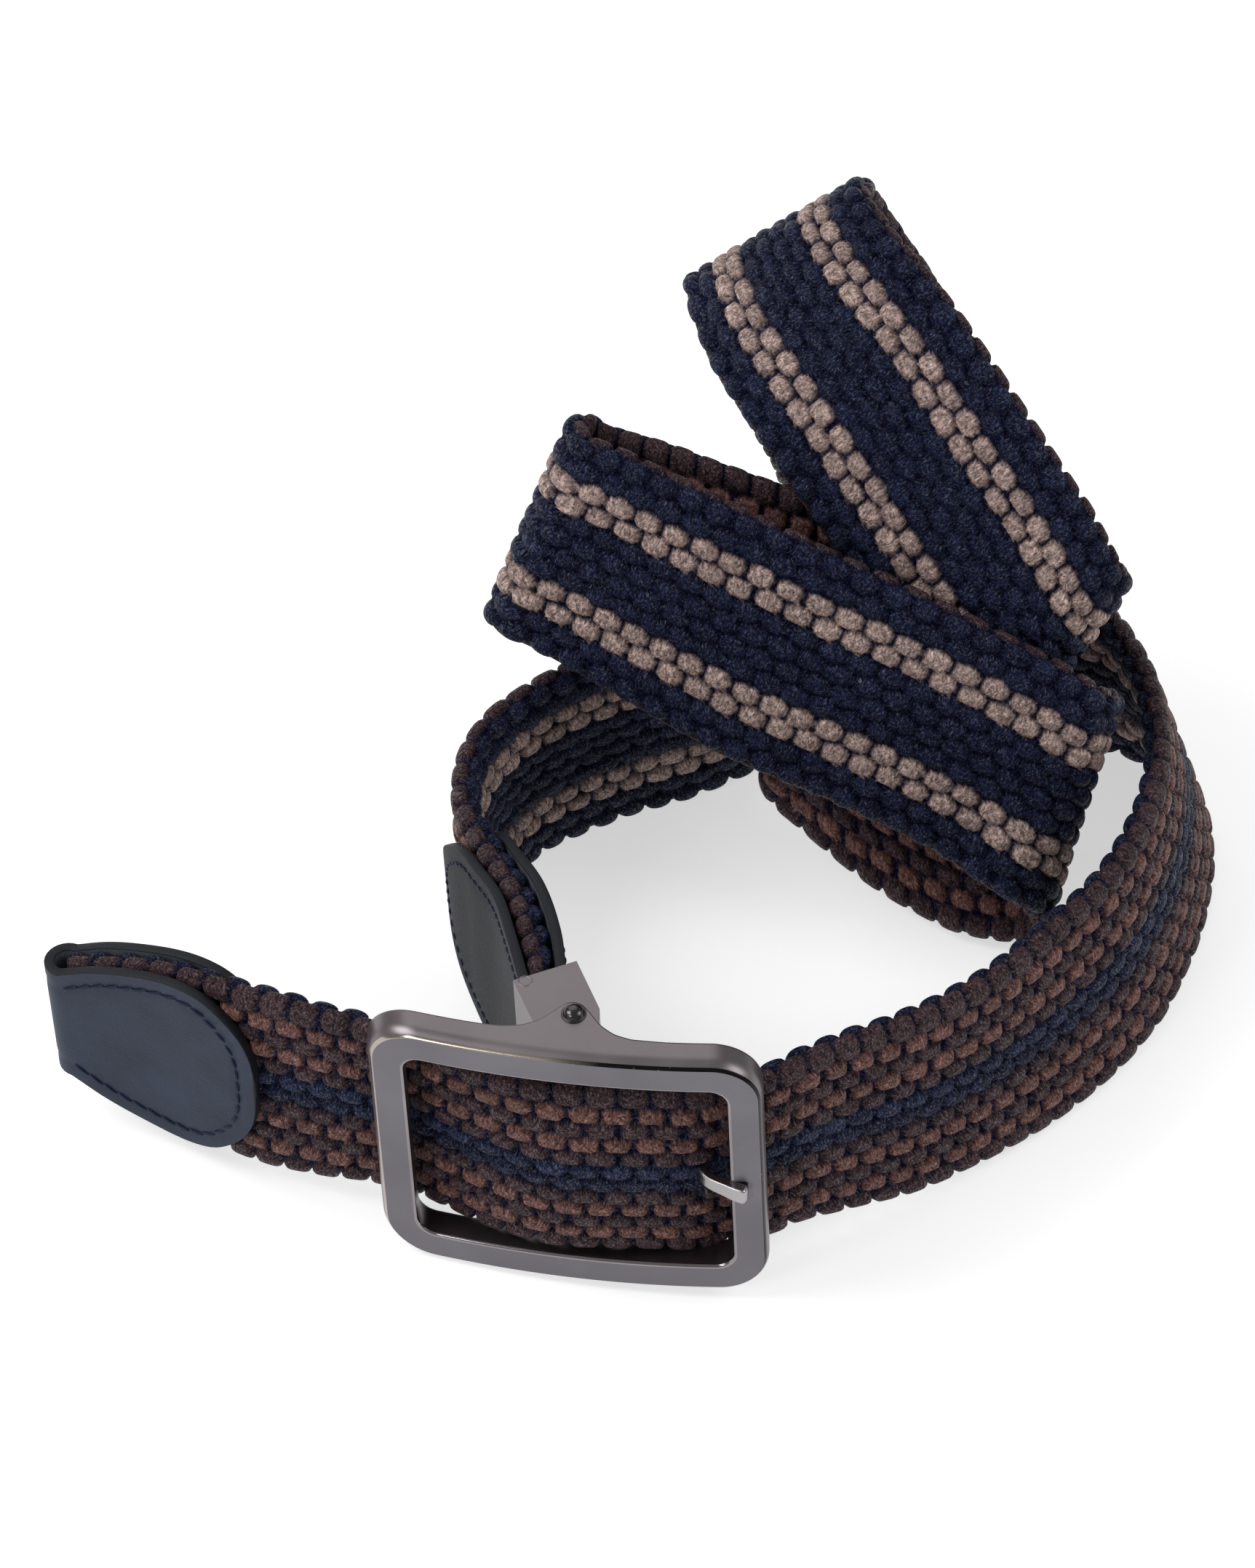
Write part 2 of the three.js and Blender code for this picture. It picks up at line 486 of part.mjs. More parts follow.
const group = new THREE.Group();
group.name = "braided_belt";
for (const [name, solid, color, roughness, metalness] of pieces) {
  const out = solid.translate(move).getMesh();
  const flat = new Float32Array(out.numVert * 3);
  for (let i = 0; i < out.numVert; i++) {
    for (let k = 0; k < 3; k++) flat[i * 3 + k] = out.vertProperties[i * out.numProp + k];
  }
  let geometry = new THREE.BufferGeometry();
  geometry.setAttribute("position", new THREE.BufferAttribute(flat, 3));
  geometry.setIndex(new THREE.BufferAttribute(new Uint32Array(out.triVerts), 1));
  geometry.deleteAttribute("normal");
  geometry.deleteAttribute("uv");
  geometry = mergeVertices(geometry, 1e-4);
  geometry.computeVertexNormals();
  const mesh = new THREE.Mesh(geometry, new THREE.MeshStandardMaterial({ color, roughness, metalness }));
  mesh.name = name;
  group.add(mesh);
}
group.userData.move = move;

export default group;
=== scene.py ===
"""Looks of a fastened braided belt: braided yarn, stitched leather tabs, gunmetal buckle.

Sizes are millimetres in the belt's own axes until a mesh is made.
"""

import math

import bmesh
import bpy
import numpy as np
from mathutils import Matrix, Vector


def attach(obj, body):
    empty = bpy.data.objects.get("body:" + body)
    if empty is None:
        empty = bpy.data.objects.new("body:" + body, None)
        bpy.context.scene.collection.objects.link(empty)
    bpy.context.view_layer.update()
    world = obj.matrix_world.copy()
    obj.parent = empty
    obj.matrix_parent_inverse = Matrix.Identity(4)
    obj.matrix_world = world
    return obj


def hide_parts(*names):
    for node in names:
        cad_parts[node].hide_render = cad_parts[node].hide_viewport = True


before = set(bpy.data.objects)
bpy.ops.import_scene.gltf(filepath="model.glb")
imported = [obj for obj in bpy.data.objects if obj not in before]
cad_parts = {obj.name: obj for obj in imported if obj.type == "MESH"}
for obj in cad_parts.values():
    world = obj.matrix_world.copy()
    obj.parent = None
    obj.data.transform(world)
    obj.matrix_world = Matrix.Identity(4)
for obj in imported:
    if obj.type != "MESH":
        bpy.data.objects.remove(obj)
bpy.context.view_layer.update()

MM = 0.001
MOVE = np.array([-10.235, -60.216, 0.089])  # from the belt's own axes to the middle of its base
rng = np.random.default_rng(7)

# Strap.
STRAP_HALF = 17.5
STRAP_THICK = 3.8
STRAP_START = 3.6  # the strap ends this far inside the clip tab
END_DRAW = 1.6  # length over which its two ends are drawn in
BULGE = 1.7  # how far its middle stands forward over the tongue
BULGE_ROW = 69.8  # row of RUN where the bulge is highest
BULGE_FADE = 1.9  # rows of RUN over which it fades

# Braid.
PITCH = 4.45  # one nub along the strap
THICK = 2.1  # half thickness at the top of a nub
REACH = 18.0  # half width at the top of the edge nubs
DEEP = 1.05  # how far the gaps lie below the nubs
COLUMN = 2.85  # width of one inner column of nubs
DOME = 0.48  # below 1, a nub has steeper sides and a flatter top
COVER = 0.4  # share of the height below which the binding thread shows
EDGE_ACROSS_SIZE = 1.06  # half sizes of the edge nubs, in halves of a cell
EDGE_ALONG_SIZE = 0.93
BROWN_WRAP = 0.3  # radians by which the brown edge nubs reach past the middle of the edge
PHASE = 0.02  # where the first nub starts, as a share of a nub
SIZE_WOBBLE = 0.05  # chance differences from nub to nub
ACROSS_WOBBLE = 0.06
ALONG_WOBBLE = 0.05
HEIGHT_WOBBLE = 0.07
NAVY_FACE = "NNTTNNNNTTNN"
BROWN_FACE = "DLDLDNMDLDLD"
# half size across and along the strap, in halves of a cell, and squareness across and along
NUB = {
    "N": (1.1, 1.06, 2.2, 2.2),
    "M": (1.05, 0.98, 2.6, 3),
    "T": (1.05, 0.92, 2.8, 3),
    "L": (1.02, 0.86, 3.6, 5),
    "D": (1.02, 0.87, 3.4, 4.5),
}
BRAID_PIECES = 4
UV_SIZE = 100  # length of one UV unit

# Leather.
LEATHER = 1.5
LEATHER_EDGE_R = 0.26  # rounding of its edges
LAYER_LIFT = 0.65  # from the gap to the middle of a layer
TAB_END = 6  # length over which the stations lie closer towards a tab's round end
TIP_GAP = 0.4
CLIP_GAP = 0.55
CLIP_TAPER = 1.5  # how much narrower the clip tab is at the clip
CLIP_TAPER_LONG = 15
CLIP_PINCH = (0.95, 0.33)  # lift of a layer at the clip's fold, and its growth per millimetre
STITCH_IN = 2.7  # from the leather's edge to the seam
SEAM_SINK = 0.13  # how far the seam pulls the leather in
SEAM_SINK_WIDE = 0.55
# length of a stitch, step, half slant, start behind the fold, radius
STITCH = {"tip_tab": (2.9, 2.45, 0.3, 0.5, 0.28), "clip_tab": (1.5, 1.95, 0.08, 1.6, 0.24)}
# seven rings of a stitch: height over the leather's face, share of its radius
STITCH_ARCH = np.array([-0.3, -0.08, 0.02, 0.04, 0.02, -0.08, -0.3])
STITCH_GIRTH = np.array([0.6, 0.95, 1, 1, 1, 0.95, 0.6])
STITCH_FLAT = 0.85  # height of a stitch, as a share of its width

# Buckle.
FRAME_LONG = 54
FRAME_TALL = 47.5
OPEN_LONG = 44
OPEN_TALL = 36.9
FRAME_DEEP = 4.7
CORNER_OUT = 7
CORNER_IN = 2.6
FRAME_BOW = 2.4
FRAME_SLOPE = -0.18
FRAME_ROLL = math.radians(2.3)
FRAME_Y = -4.25
MID_Z = 24.6
LUG_THICK = 3.3
LUG_HALF = 15.5  # the bars are deepened this far to each side of the middle
LUG_ROUND = 0.6  # rounding of the lugs' outline
LUG_BEVEL = 0.35
RIDGE_START = 24  # degrees by which the outer edge is turned where it meets the front
RIDGE_IN = 0.145  # share of the bar's width that the outer edge takes
RIDGE_DEEP = 2.1
SEAT_HALF = 1.86  # half height of the tongue's seat in the right bar
SEAT_X = (15, 24.95)
SEAT_ROOM = 1.02  # the seat takes the tongue this much thicker than it is
SEAT_CLEAR = 0.12
SEAT_RIM = (1.35, 0.5, 0.2)  # half height at which the seat's rims start, their width and height
PIVOT = (1.57, 3.868)
PIN_R = 1.0
DISC = 36  # points round a disc
TONGUE_EDGE_R = 0.32
TONGUE_END = 2  # length over which the rings lie closer towards the tip
CLIP_BEVEL = 0.22
CLIP_SMALL_FACE = 1.2  # square millimetres; smaller faces belong to the rounded edges
CLIP_MARK = (-6.9, 9.6)  # from the pivot
CLIP_TOP = 19.9  # above the middle height

# Middle of the strap, sideways offset of its top edge from its middle, half width, thickness.
RUN = [
    # x, y, z, ox, oy, half, thick
    (-1.7, 12.7, 24.6, -0.7, 0, 17, 2.8),
    (-2.75, 15.5, 24.6, -0.7, 0, 17, 2.8),
    (-4.5, 25.2, 23.8, -0.6, 0, 17.3, 3.8),
    (-7, 34.8, 22, -0.3, 0, 17.5, 3.8),
    (-10.8, 45.2, 19.7, -0.6, 0, 17.5, 3.8),
    (-14.4, 56.5, 18.1, -0.8, 0, 17.5, 3.8),
    (-12.6, 69, 17.5, -0.8, 0, 17.5, 3.8),
    (-6, 78, 17.5, 0, 0, 17.5, 3.8),
    (7, 86, 17.5, 0, 0, 17.5, 3.8),
    (19, 91, 17.5, 0, 0, 17.5, 3.8),
    (29, 98, 17.6, -1, -1, 17.5, 3.8),
    (36.5, 106, 19.8, -1, -5, 17.5, 3.8),
    (42, 111.5, 25, 6.5, -9.5, 17.5, 3.8),
    (45.5, 115.3, 31.5, 12.8, -9, 17.5, 3.8),
    (47, 118.3, 39, 16, -3.5, 17.5, 3.8),
    (45.8, 119.8, 47, 16.5, 1.2, 17.5, 3.8),
    (39.9, 121.5, 59.2, 14.4, 2.2, 17.5, 3.8),
    (32.2, 125.6, 72.5, 13.2, 0.5, 17.5, 3.8),
    (29.8, 125.5, 78.8, 13, -1.2, 17.5, 3.8),
    (29.2, 120.7, 82.3, 12.4, -2.2, 17.5, 3.8),
    (32, 111.3, 82.1, 12.3, 0.6, 17.5, 3.8),
    (40.5, 97.3, 78.8, 12.6, 2.8, 17.5, 3.8),
    (50.8, 86.1, 68.6, 13, 2.2, 17.5, 3.8),
    (60.6, 77.2, 56.7, 13, 2.6, 17.5, 3.8),
    (66, 73, 48.5, 11.8, 3.6, 17.5, 3.8),
    (69.3, 74, 43.6, 9.6, 5, 17.5, 3.8),
    (69, 79.5, 40.5, 6.4, 6.4, 17.5, 3.8),
    (65.5, 82.7, 40, 3.5, 7.2, 17.5, 3.8),
    (58, 83, 40.3, 1.6, 7.6, 17.5, 3.8),
    (44, 83.6, 41.5, 1.2, 8, 17.5, 3.8),
    (28, 84.5, 46, 2.4, 8.2, 17.5, 3.8),
    (10, 87, 51.9, 4, 8.6, 17.5, 3.8),
    (0, 89.8, 54.8, 5.2, 5.6, 17.5, 3.8),
    (-3.4, 90.3, 57.6, 6, 4.3, 17.5, 3.8),
    (-5.2, 87.5, 59, 6.2, 3.8, 17.5, 3.8),
    (-3.8, 84.5, 59.3, 6.2, 3.6, 17.5, 3.8),
    (0, 83, 58.6, 6.1, 3.7, 17.5, 3.8),
    (10, 78.9, 55.4, 5.9, 4.4, 17.5, 3.8),
    (28, 72.3, 48.8, 6.4, 6, 17.5, 3.8),
    (46, 67.3, 42.3, 7.4, 4.8, 17.5, 3.8),
    (60.5, 63, 36.3, 8, 4.4, 17.5, 3.8),
    (68, 60.6, 31.8, 7.4, 5.6, 17.5, 3.8),
    (71.6, 62.4, 27.6, 6, 8, 17.5, 3.8),
    (71.6, 67, 20.6, 4, 10.6, 17.5, 3.8),
    (66.5, 70, 15.6, 1.4, 12, 17.5, 3.8),
    (56, 73, 14.4, 0, 12.3, 17.5, 3.8),
    (46, 78, 16.4, 0, 11, 17.5, 3.8),
    (38, 82.6, 19, 0, 7.6, 17.5, 3.8),
    (33, 85.3, 20.4, 0, 4, 17.5, 3.8),
    (30.4, 87.2, 20.8, 0, 2.6, 17.5, 3.8),
    (29.4, 89.8, 20.8, 0, 1.4, 17.5, 3.8),
    (30.4, 92.4, 20.6, 0, 0.6, 17.5, 3.8),
    (33.2, 93.8, 20.2, 0, 0, 17.5, 3.8),
    (43, 94.2, 18.5, 0, 0, 17.5, 3.8),
    (57, 95.8, 17.5, 0, -1, 17.5, 3.8),
    (70, 98, 17.5, -1, -2, 17.5, 3.8),
    (79.5, 96.5, 17.4, -3, -2, 17.5, 3.8),
    (85, 90, 17.3, -5, -1.5, 17.5, 3.8),
    (87.8, 79, 17.3, -5, 0, 17.5, 3.8),
    (86.6, 62, 17.4, -3.5, 1, 17.5, 3.8),
    (79.5, 44, 17.5, -2.6, 1.6, 17.5, 3.8),
    (69, 31, 17.5, -1.7, 2.2, 17.5, 3.8),
    (57.5, 19.8, 18.9, -0.8, 1.3, 17.5, 3.8),
    (46.7, 12.2, 20.2, -0.4, 0.9, 17.5, 3.8),
    (38.5, 7.8, 21.6, -0.2, 0.5, 17.4, 3.8),
    (31.6, 3.9, 22.8, 0, 0, 17.2, 3.8),
    (27.5, 2, 22.2, 0, 0, 16.9, 3.8),
    (22, 0.5, 21.9, 0, 0, 16.8, 3.8),
    (17.3, -1.3, 22.8, 0, 0, 16.8, 3.8),
    (12.2, -1.9, 24, 0, 0, 16.8, 3.8),
    (5, -2, 24.3, 0, 0, 16.8, 3.8),
    (-2.5, -1.2, 24.1, 0, 0, 16.8, 3.8),
    (-10.6, 1.5, 23.7, 0, -0.4, 16.8, 3.8),
    (-16.3, 4.9, 23.3, 0, -0.7, 16.8, 3.8),
    (-21, 8.5, 22.6, 0, -0.4, 16.8, 3.8),
    (-26.8, 11.2, 21.8, 0, -0.4, 16.9, 3.8),
    (-33.9, 13.6, 21.1, 0, 0, 17.2, 3.8),
    (-43, 17.4, 20.1, -0.2, 0.3, 17.5, 3.8),
    (-57, 24.9, 18.9, -0.5, 0.3, 16.2, 3),
    (-70.2, 31, 18.2, -0.9, 0.7, 11, 3),
]

# Outline of a leather tab: distance back from the strap's end, half width.
TIP_TAB = [
    (0, 10.4), (5, 13), (10, 14.8), (16, 16.2), (20, 16.3),
    (23.5, 15.4), (26.5, 13.2), (29, 10.2), (30.4, 6.8), (31, 3.2),
]
CLIP_TAB = [
    (0, 17), (3.5, 17), (12, 17.2), (24, 17.4), (31, 16.8),
    (37, 15.6), (41.5, 12.8), (44.8, 9), (46.4, 5.4), (47, 2.4),
]

# Back of the frame's top and bottom bars: x along the frame, depth behind the front line.
LUG_BACK = [
    (-15, 4.7), (-11, 4.75), (-8.2, 5), (-5.5, 5.6), (-3.2, 6.9), (-1.6, 8.4), (0, 10.1),
    (1.2, 10.9), (2.7, 10.6), (3.7, 9.4), (5, 7.2), (7, 5.6), (9.3, 4.9), (14, 4.7),
]

# Tongue: x, y, z, width up, thickness.
TONGUE = [
    (3.3, 3.8, 24.6, 3.1, 2),
    (7, 2.7, 24.5, 3.1, 2),
    (11.5, 2.2, 24.3, 3.2, 2),
    (15, 1, 24.2, 3.3, 2),
    (17.6, -2.4, 23.8, 2.5, 1.5),
    (19, -4.6, 23.6, 2.3, 1.4),
    (21.4, -6.1, 23.6, 2.5, 1.5),
    (22.9, -6.9, 23.6, 2.7, 1.6),
    (24.4, -7.5, 23.6, 2.8, 1.6),
]

# Rivet: height from the frame's lower or upper face, radius.
RIVET_FOOT = [(0.3, 0.9), (0.5, PIN_R)]
RIVET_HEAD = [
    (-0.05, PIN_R), (0.02, 1.72), (0.1, 1.74), (0.14, 1.66), (0.1, 1.5), (0.16, 1.44),
    (0.5, 1.38), (0.8, 1.18), (1.02, 0.88), (1.14, 0.5), (1.16, 0.2),
]
# The tongue's eye and the ring on top of the clip: radius, height.
TONGUE_EYE = [(1.35, -1.4), (1.9, -1.6), (2.2, -1.3), (2.2, 1.3), (1.9, 1.6), (1.35, 1.4)]
CLIP_MARK_RING = [(1.05, -0.1), (0.98, 0.05), (0.82, 0.05), (0.75, -0.1)]


def metres(p):
    """Places in the scene of points in the belt's own axes."""
    return (np.asarray(p, float) + MOVE) * MM


def unit(v):
    return v / np.linalg.norm(v, axis=-1, keepdims=True)


# Smooth curves through tables.
def along_rows(rows, t):
    """Rows of a table at row numbers t, on one smooth curve; the first three columns are a place."""
    t = np.atleast_1d(t)
    n = len(rows) - 1
    i = np.clip(np.floor(t).astype(int), 0, n - 1)
    u = (t - i)[:, None]
    p0, p1, p2, p3 = rows[np.maximum(i - 1, 0)], rows[i], rows[i + 1], rows[np.minimum(i + 2, n)]
    d = [
        np.sqrt(np.maximum(np.linalg.norm((b - a)[:, :3], axis=1), 1e-6))[:, None]
        for a, b in ((p0, p1), (p1, p2), (p2, p3))
    ]
    e = p2 - p1
    start = d[1] * ((p1 - p0) / d[0] - (p2 - p0) / (d[0] + d[1]) + e / d[1])
    stop = d[1] * (e / d[1] - (p3 - p1) / (d[1] + d[2]) + (p3 - p2) / d[2])
    m1 = np.where(i[:, None] > 0, start, e)
    m2 = np.where(i[:, None] < n - 1, stop, e)
    h = (2 * u**3 - 3 * u * u + 1, u**3 - 2 * u * u + u, 3 * u * u - 2 * u**3, u**3 - u * u)
    return h[0] * p1 + h[1] * m1 + h[2] * p2 + h[3] * m2


run_rows = np.array(RUN, float)
LAST = len(run_rows) - 1


def strap_frames(t):
    """Middle, direction, width direction, face direction, half width and thickness at row numbers t."""
    near = 0.02
    c = along_rows(run_rows, t)
    ahead = along_rows(run_rows, np.minimum(t + near, LAST))
    behind = along_rows(run_rows, np.maximum(t - near, 0))
    along = unit((ahead - behind)[:, :3])
    ox, oy = c[:, 3] / STRAP_HALF, c[:, 4] / STRAP_HALF
    wide = np.stack([ox, oy, np.sqrt(np.maximum(1 - ox * ox - oy * oy, 0))], 1)
    return c[:, :3], along, wide, unit(np.cross(along, wide)), c[:, 5], c[:, 6]


fine_t = np.linspace(0, LAST, 40 * LAST + 1)
fine_p = along_rows(run_rows, fine_t)[:, :3]
fine_s = np.concatenate([[0], np.cumsum(np.linalg.norm(np.diff(fine_p, axis=0), axis=1))])
LENGTH = fine_s[-1]


def rows_at(s):
    """Row numbers at distances s along the strap."""
    return np.interp(s, fine_s, fine_t)


# Meshes.
def make_object(name, points, faces, materials, slot=None, smooth=True, index=None):
    """A mesh in the scene; with a slot it is a piece of the belt, and index gives each face's material."""
    mesh = bpy.data.meshes.new(name)
    mesh.from_pydata([tuple(p) for p in points], [], [tuple(f) for f in faces])
    for m in materials:
        mesh.materials.append(m)
    if index is not None:
        mesh.polygons.foreach_set("material_index", np.asarray(index, np.int32))
    mesh.polygons.foreach_set("use_smooth", np.full(len(mesh.polygons), smooth))
    mesh.update()
    obj = bpy.data.objects.new(name, mesh)
    bpy.context.scene.collection.objects.link(obj)
    if slot:
        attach(obj, "root")
    return obj


def grid_faces(n, m, around=False, closed=False):
    """Quads of a grid with n rows of m points.

    around joins the last point of a row to its first, and closed joins the last row to the first.
    """
    a = np.arange(n if closed else n - 1)[:, None]
    b = (a + 1) % n
    k = np.arange(m if around else m - 1)[None, :]
    after = (k + 1) % m
    return np.stack([a * m + k, a * m + after, b * m + after, b * m + k], -1).reshape(-1, 4)


def outward(points, faces):
    """Faces turned so that a closed mesh has its normals outside."""
    p = np.asarray(points)
    f = np.asarray(faces)
    volume = 0
    for k in range(1, f.shape[1] - 1):
        volume += (p[f[:, 0]] * np.cross(p[f[:, k]], p[f[:, k + 1]])).sum()
    return f if volume > 0 else f[:, ::-1]


def tube(rings):
    """Points and quads of a closed tube whose ends are drawn in to a point."""
    rings = np.asarray(rings)
    n, m = rings.shape[:2]
    ends = [np.repeat(rings[k].mean(0)[None], m, 0) for k in (0, -1)]
    rings = np.concatenate([ends[0][None], rings, ends[1][None]])
    points = rings.reshape(-1, 3)
    return points, outward(points, grid_faces(n + 2, m, around=True))


def rolled(p):
    """A point of the upright buckle, turned about its middle so that the right end is lifted."""
    p = np.asarray(p, float)
    x, z = p[..., 0], p[..., 2] - MID_Z
    c, s = math.cos(FRAME_ROLL), math.sin(FRAME_ROLL)
    return np.stack([x * c - z * s, p[..., 1], MID_Z + x * s + z * c], -1)


def disc_ring(r, z, x=0.0, y=0.0):
    """Ring of radius r at x, y from the pivot and z above the middle height."""
    a = np.linspace(0, 2 * math.pi, DISC + 1)[:-1]
    across, deep = PIVOT[0] + x + r * np.cos(a), PIVOT[1] + y + r * np.sin(a)
    return np.stack([across, deep, np.full(DISC, MID_Z + z)], 1)


def turned_ring(name, rings, material, slot):
    """A closed ring turned about an upright axis, leaned with the buckle."""
    points = rolled(np.array(rings).reshape(-1, 3))
    faces = outward(points, grid_faces(len(rings), DISC, around=True, closed=True))
    make_object(name, metres(points), faces, [material], slot)


# Materials.
class Nodes:
    """Short calls for a material's node tree."""

    def __init__(self, name):
        self.mat = bpy.data.materials.new(name)
        self.mat.use_nodes = True
        self.tree = self.mat.node_tree
        self.shader = self.tree.nodes["Principled BSDF"]

    def node(self, kind, **values):
        n = self.tree.nodes.new(kind)
        for key, value in values.items():
            setattr(n, key, value)
        return n

    def put(self, socket, value):
        if isinstance(value, bpy.types.NodeSocket):
            self.tree.links.new(value, socket)
        else:
            socket.default_value = value

    def math(self, op, a, b):
        n = self.node("ShaderNodeMath", operation=op)
        self.put(n.inputs[0], a)
        self.put(n.inputs[1], b)
        return n.outputs[0]

    def mix(self, factor, a, b, blend="MIX"):
        n = self.node("ShaderNodeMix", data_type="RGBA", blend_type=blend)
        self.put(n.inputs["Factor"], factor)
        self.put(n.inputs["A"], a)
        self.put(n.inputs["B"], b)
        return n.outputs["Result"]

    def ramp(self, value, stops):
        """Value taken from one range to another: from low, from high, to low, to high."""
        n = self.node("ShaderNodeMapRange", clamp=True)
        self.put(n.inputs["Value"], value)
        for key, v in zip(("From Min", "From Max", "To Min", "To Max"), stops):
            n.inputs[key].default_value = v
        return n.outputs["Result"]

    def where(self):
        return self.node("ShaderNodeTexCoord").outputs["Object"]

    def point_value(self, name, out="Fac"):
        return self.node("ShaderNodeAttribute", attribute_name=name).outputs[out]

    def mapping(self, source, scale, turn=0.0):
        n = self.node("ShaderNodeMapping")
        self.put(n.inputs["Vector"], source)
        n.inputs["Scale"].default_value = scale
        n.inputs["Rotation"].default_value = (0, 0, turn)
        return n.outputs[0]

    def noise(self, vector, scale, detail=2.0, rough=0.5, distortion=0.0, out="Fac"):
        n = self.node("ShaderNodeTexNoise")
        self.put(n.inputs["Vector"], vector)
        keys = ("Scale", "Detail", "Roughness", "Distortion")
        for key, v in zip(keys, (scale, detail, rough, distortion)):
            n.inputs[key].default_value = v
        return n.outputs[out]

    def voronoi(self, vector, scale):
        n = self.node("ShaderNodeTexVoronoi", feature="F1")
        self.put(n.inputs["Vector"], vector)
        n.inputs["Scale"].default_value = scale
        return n.outputs["Distance"]

    def grey(self, value):
        n = self.node("ShaderNodeCombineColor")
        for s in n.inputs[:3]:
            self.put(s, value)
        return n.outputs[0]

    def bump(self, height, distance, strength):
        n = self.node("ShaderNodeBump")
        self.put(n.inputs["Height"], height)
        n.inputs["Distance"].default_value = distance
        n.inputs["Strength"].default_value = strength
        return n.outputs[0]

    def set(self, **values):
        for key, value in values.items():
            self.put(self.shader.inputs[key.replace("_", " ")], value)


def linear(r, g, b):
    """Linear colour from 0 to 255 display values."""
    values = (c / 255 / 12.92 if c < 10.3 else ((c / 255 + 0.055) / 1.055) ** 2.4 for c in (r, g, b))
    return tuple(values) + (1.0,)


# dark brown, light brown, navy, mid navy, taupe
YARN = {
    "D": linear(61, 45, 49),
    "L": linear(105, 73, 67),
    "N": linear(22, 28, 52),
    "M": linear(28, 36, 62),
    "T": linear(160, 138, 131),
}
BINDING = linear(22, 27, 68)  # thread that binds the nubs


def yarn_material():
    """Textured yarn: short crimped loops, heathered, with painted shade in the valleys of its relief and
    in the gaps below the nubs, and small glints.
    """
    m = Nodes("yarn")
    tint = m.point_value("yarn", "Color")
    uv = m.node("ShaderNodeUVMap", uv_map="strap").outputs[0]
    bent = m.node("ShaderNodeVectorMath", operation="MULTIPLY_ADD")
    m.put(bent.inputs[0], m.noise(uv, 42, 1.0, out="Color"))
    bent.inputs[1].default_value = (0.012, 0.012, 0)
    m.put(bent.inputs[2], uv)
    # crimps of about 0.4 by 0.3 mm, on a twist of about 1 by 0.7 mm
    crimps = m.noise(m.mapping(bent.outputs[0], (230, 360, 100), 0.6), 1.0, 2.5, 0.6, 0.9)
    twist = m.noise(m.mapping(uv, (95, 150, 100), 0.9), 1.0, 1.0, 0.5, 0.5)
    patchy = m.noise(m.mapping(uv, (100, 100, 100)), 0.9, 2.0, 0.5)
    height = m.math("ADD", m.math("MULTIPLY", crimps, 0.7), m.math("MULTIPLY", twist, 0.5))
    # the crimps' valleys are painted darker and their tops lighter, as painted shade and light on the
    # relief
    tone_and_painted_shade = m.ramp(crimps, (0.32, 0.66, 0.34, 1.6))
    # the twist's valleys and the gaps below the nubs (lift, the nub's height) are painted darker as
    # painted shade; chance and patchy are the yarn's own uneven tone
    for value, stops in (
        (twist, (0.35, 0.65, 0.58, 1.36)),
        (m.point_value("chance"), (0, 1, 0.86, 1.14)),
        (patchy, (0.3, 0.7, 0.88, 1.12)),
        (m.point_value("lift"), (0.1, 0.8, 0.42, 1.0)),
    ):
        tone_and_painted_shade = m.math("MULTIPLY", tone_and_painted_shade, m.ramp(value, stops))
    m.set(Base_Color=m.mix(1.0, tint, m.grey(tone_and_painted_shade), "MULTIPLY"))
    m.set(Roughness=m.ramp(twist, (0.35, 0.65, 0.34, 0.55)), Normal=m.bump(height, 0.0007, 1.0))
    m.set(Specular_IOR_Level=m.ramp(crimps, (0.5, 0.68, 0.04, 0.8)))
    return m.mat


def leather_material(name, low, high, shine):
    """Fine grained leather with soft creases and a cloudy dye."""
    m = Nodes(name)
    where = m.where()
    grain = m.voronoi(where, 2300)
    pores = m.noise(where, 5200, 2.0, 0.6)
    cloud = m.noise(where, 130, 3.0, 0.55)
    crease = m.noise(m.mapping(where, (1, 1, 0.25)), 420, 2.0, 0.5, 0.8)
    fine = m.math("ADD", m.math("MULTIPLY", pores, 0.3), m.math("MULTIPLY", crease, 0.5))
    height = m.math("ADD", m.math("MULTIPLY", grain, 0.55), fine)
    tone = m.mix(m.ramp(cloud, (0.3, 0.7, 0, 1)), low, high)
    m.set(Base_Color=m.mix(1.0, tone, m.grey(m.ramp(pores, (0.25, 0.6, 0.72, 1.06))), "MULTIPLY"))
    m.set(Roughness=m.ramp(pores, (0.3, 0.7, 0.44, 0.6)), Specular_IOR_Level=shine)
    m.set(Normal=m.bump(height, 0.0001, 0.55))
    return m.mat


def fibre_material(name, low, high, rough):
    """Raw side of the leather: a cut edge or a felted back."""
    m = Nodes(name)
    fibres = m.noise(m.where(), 3000, 3.0, 0.6)
    m.set(Base_Color=m.mix(fibres, low, high), Roughness=rough, Specular_IOR_Level=0.25)
    m.set(Normal=m.bump(fibres, 0.0001, 0.6))
    return m.mat


def thread_material():
    """Twisted sewing thread."""
    m = Nodes("thread")
    ply = m.noise(m.where(), 4200, 1.0, 0.5)
    m.set(Base_Color=m.mix(ply, linear(8, 11, 28), linear(28, 37, 66)), Roughness=0.55)
    m.set(Specular_IOR_Level=0.2, Normal=m.bump(ply, 0.00008, 0.7))
    return m.mat


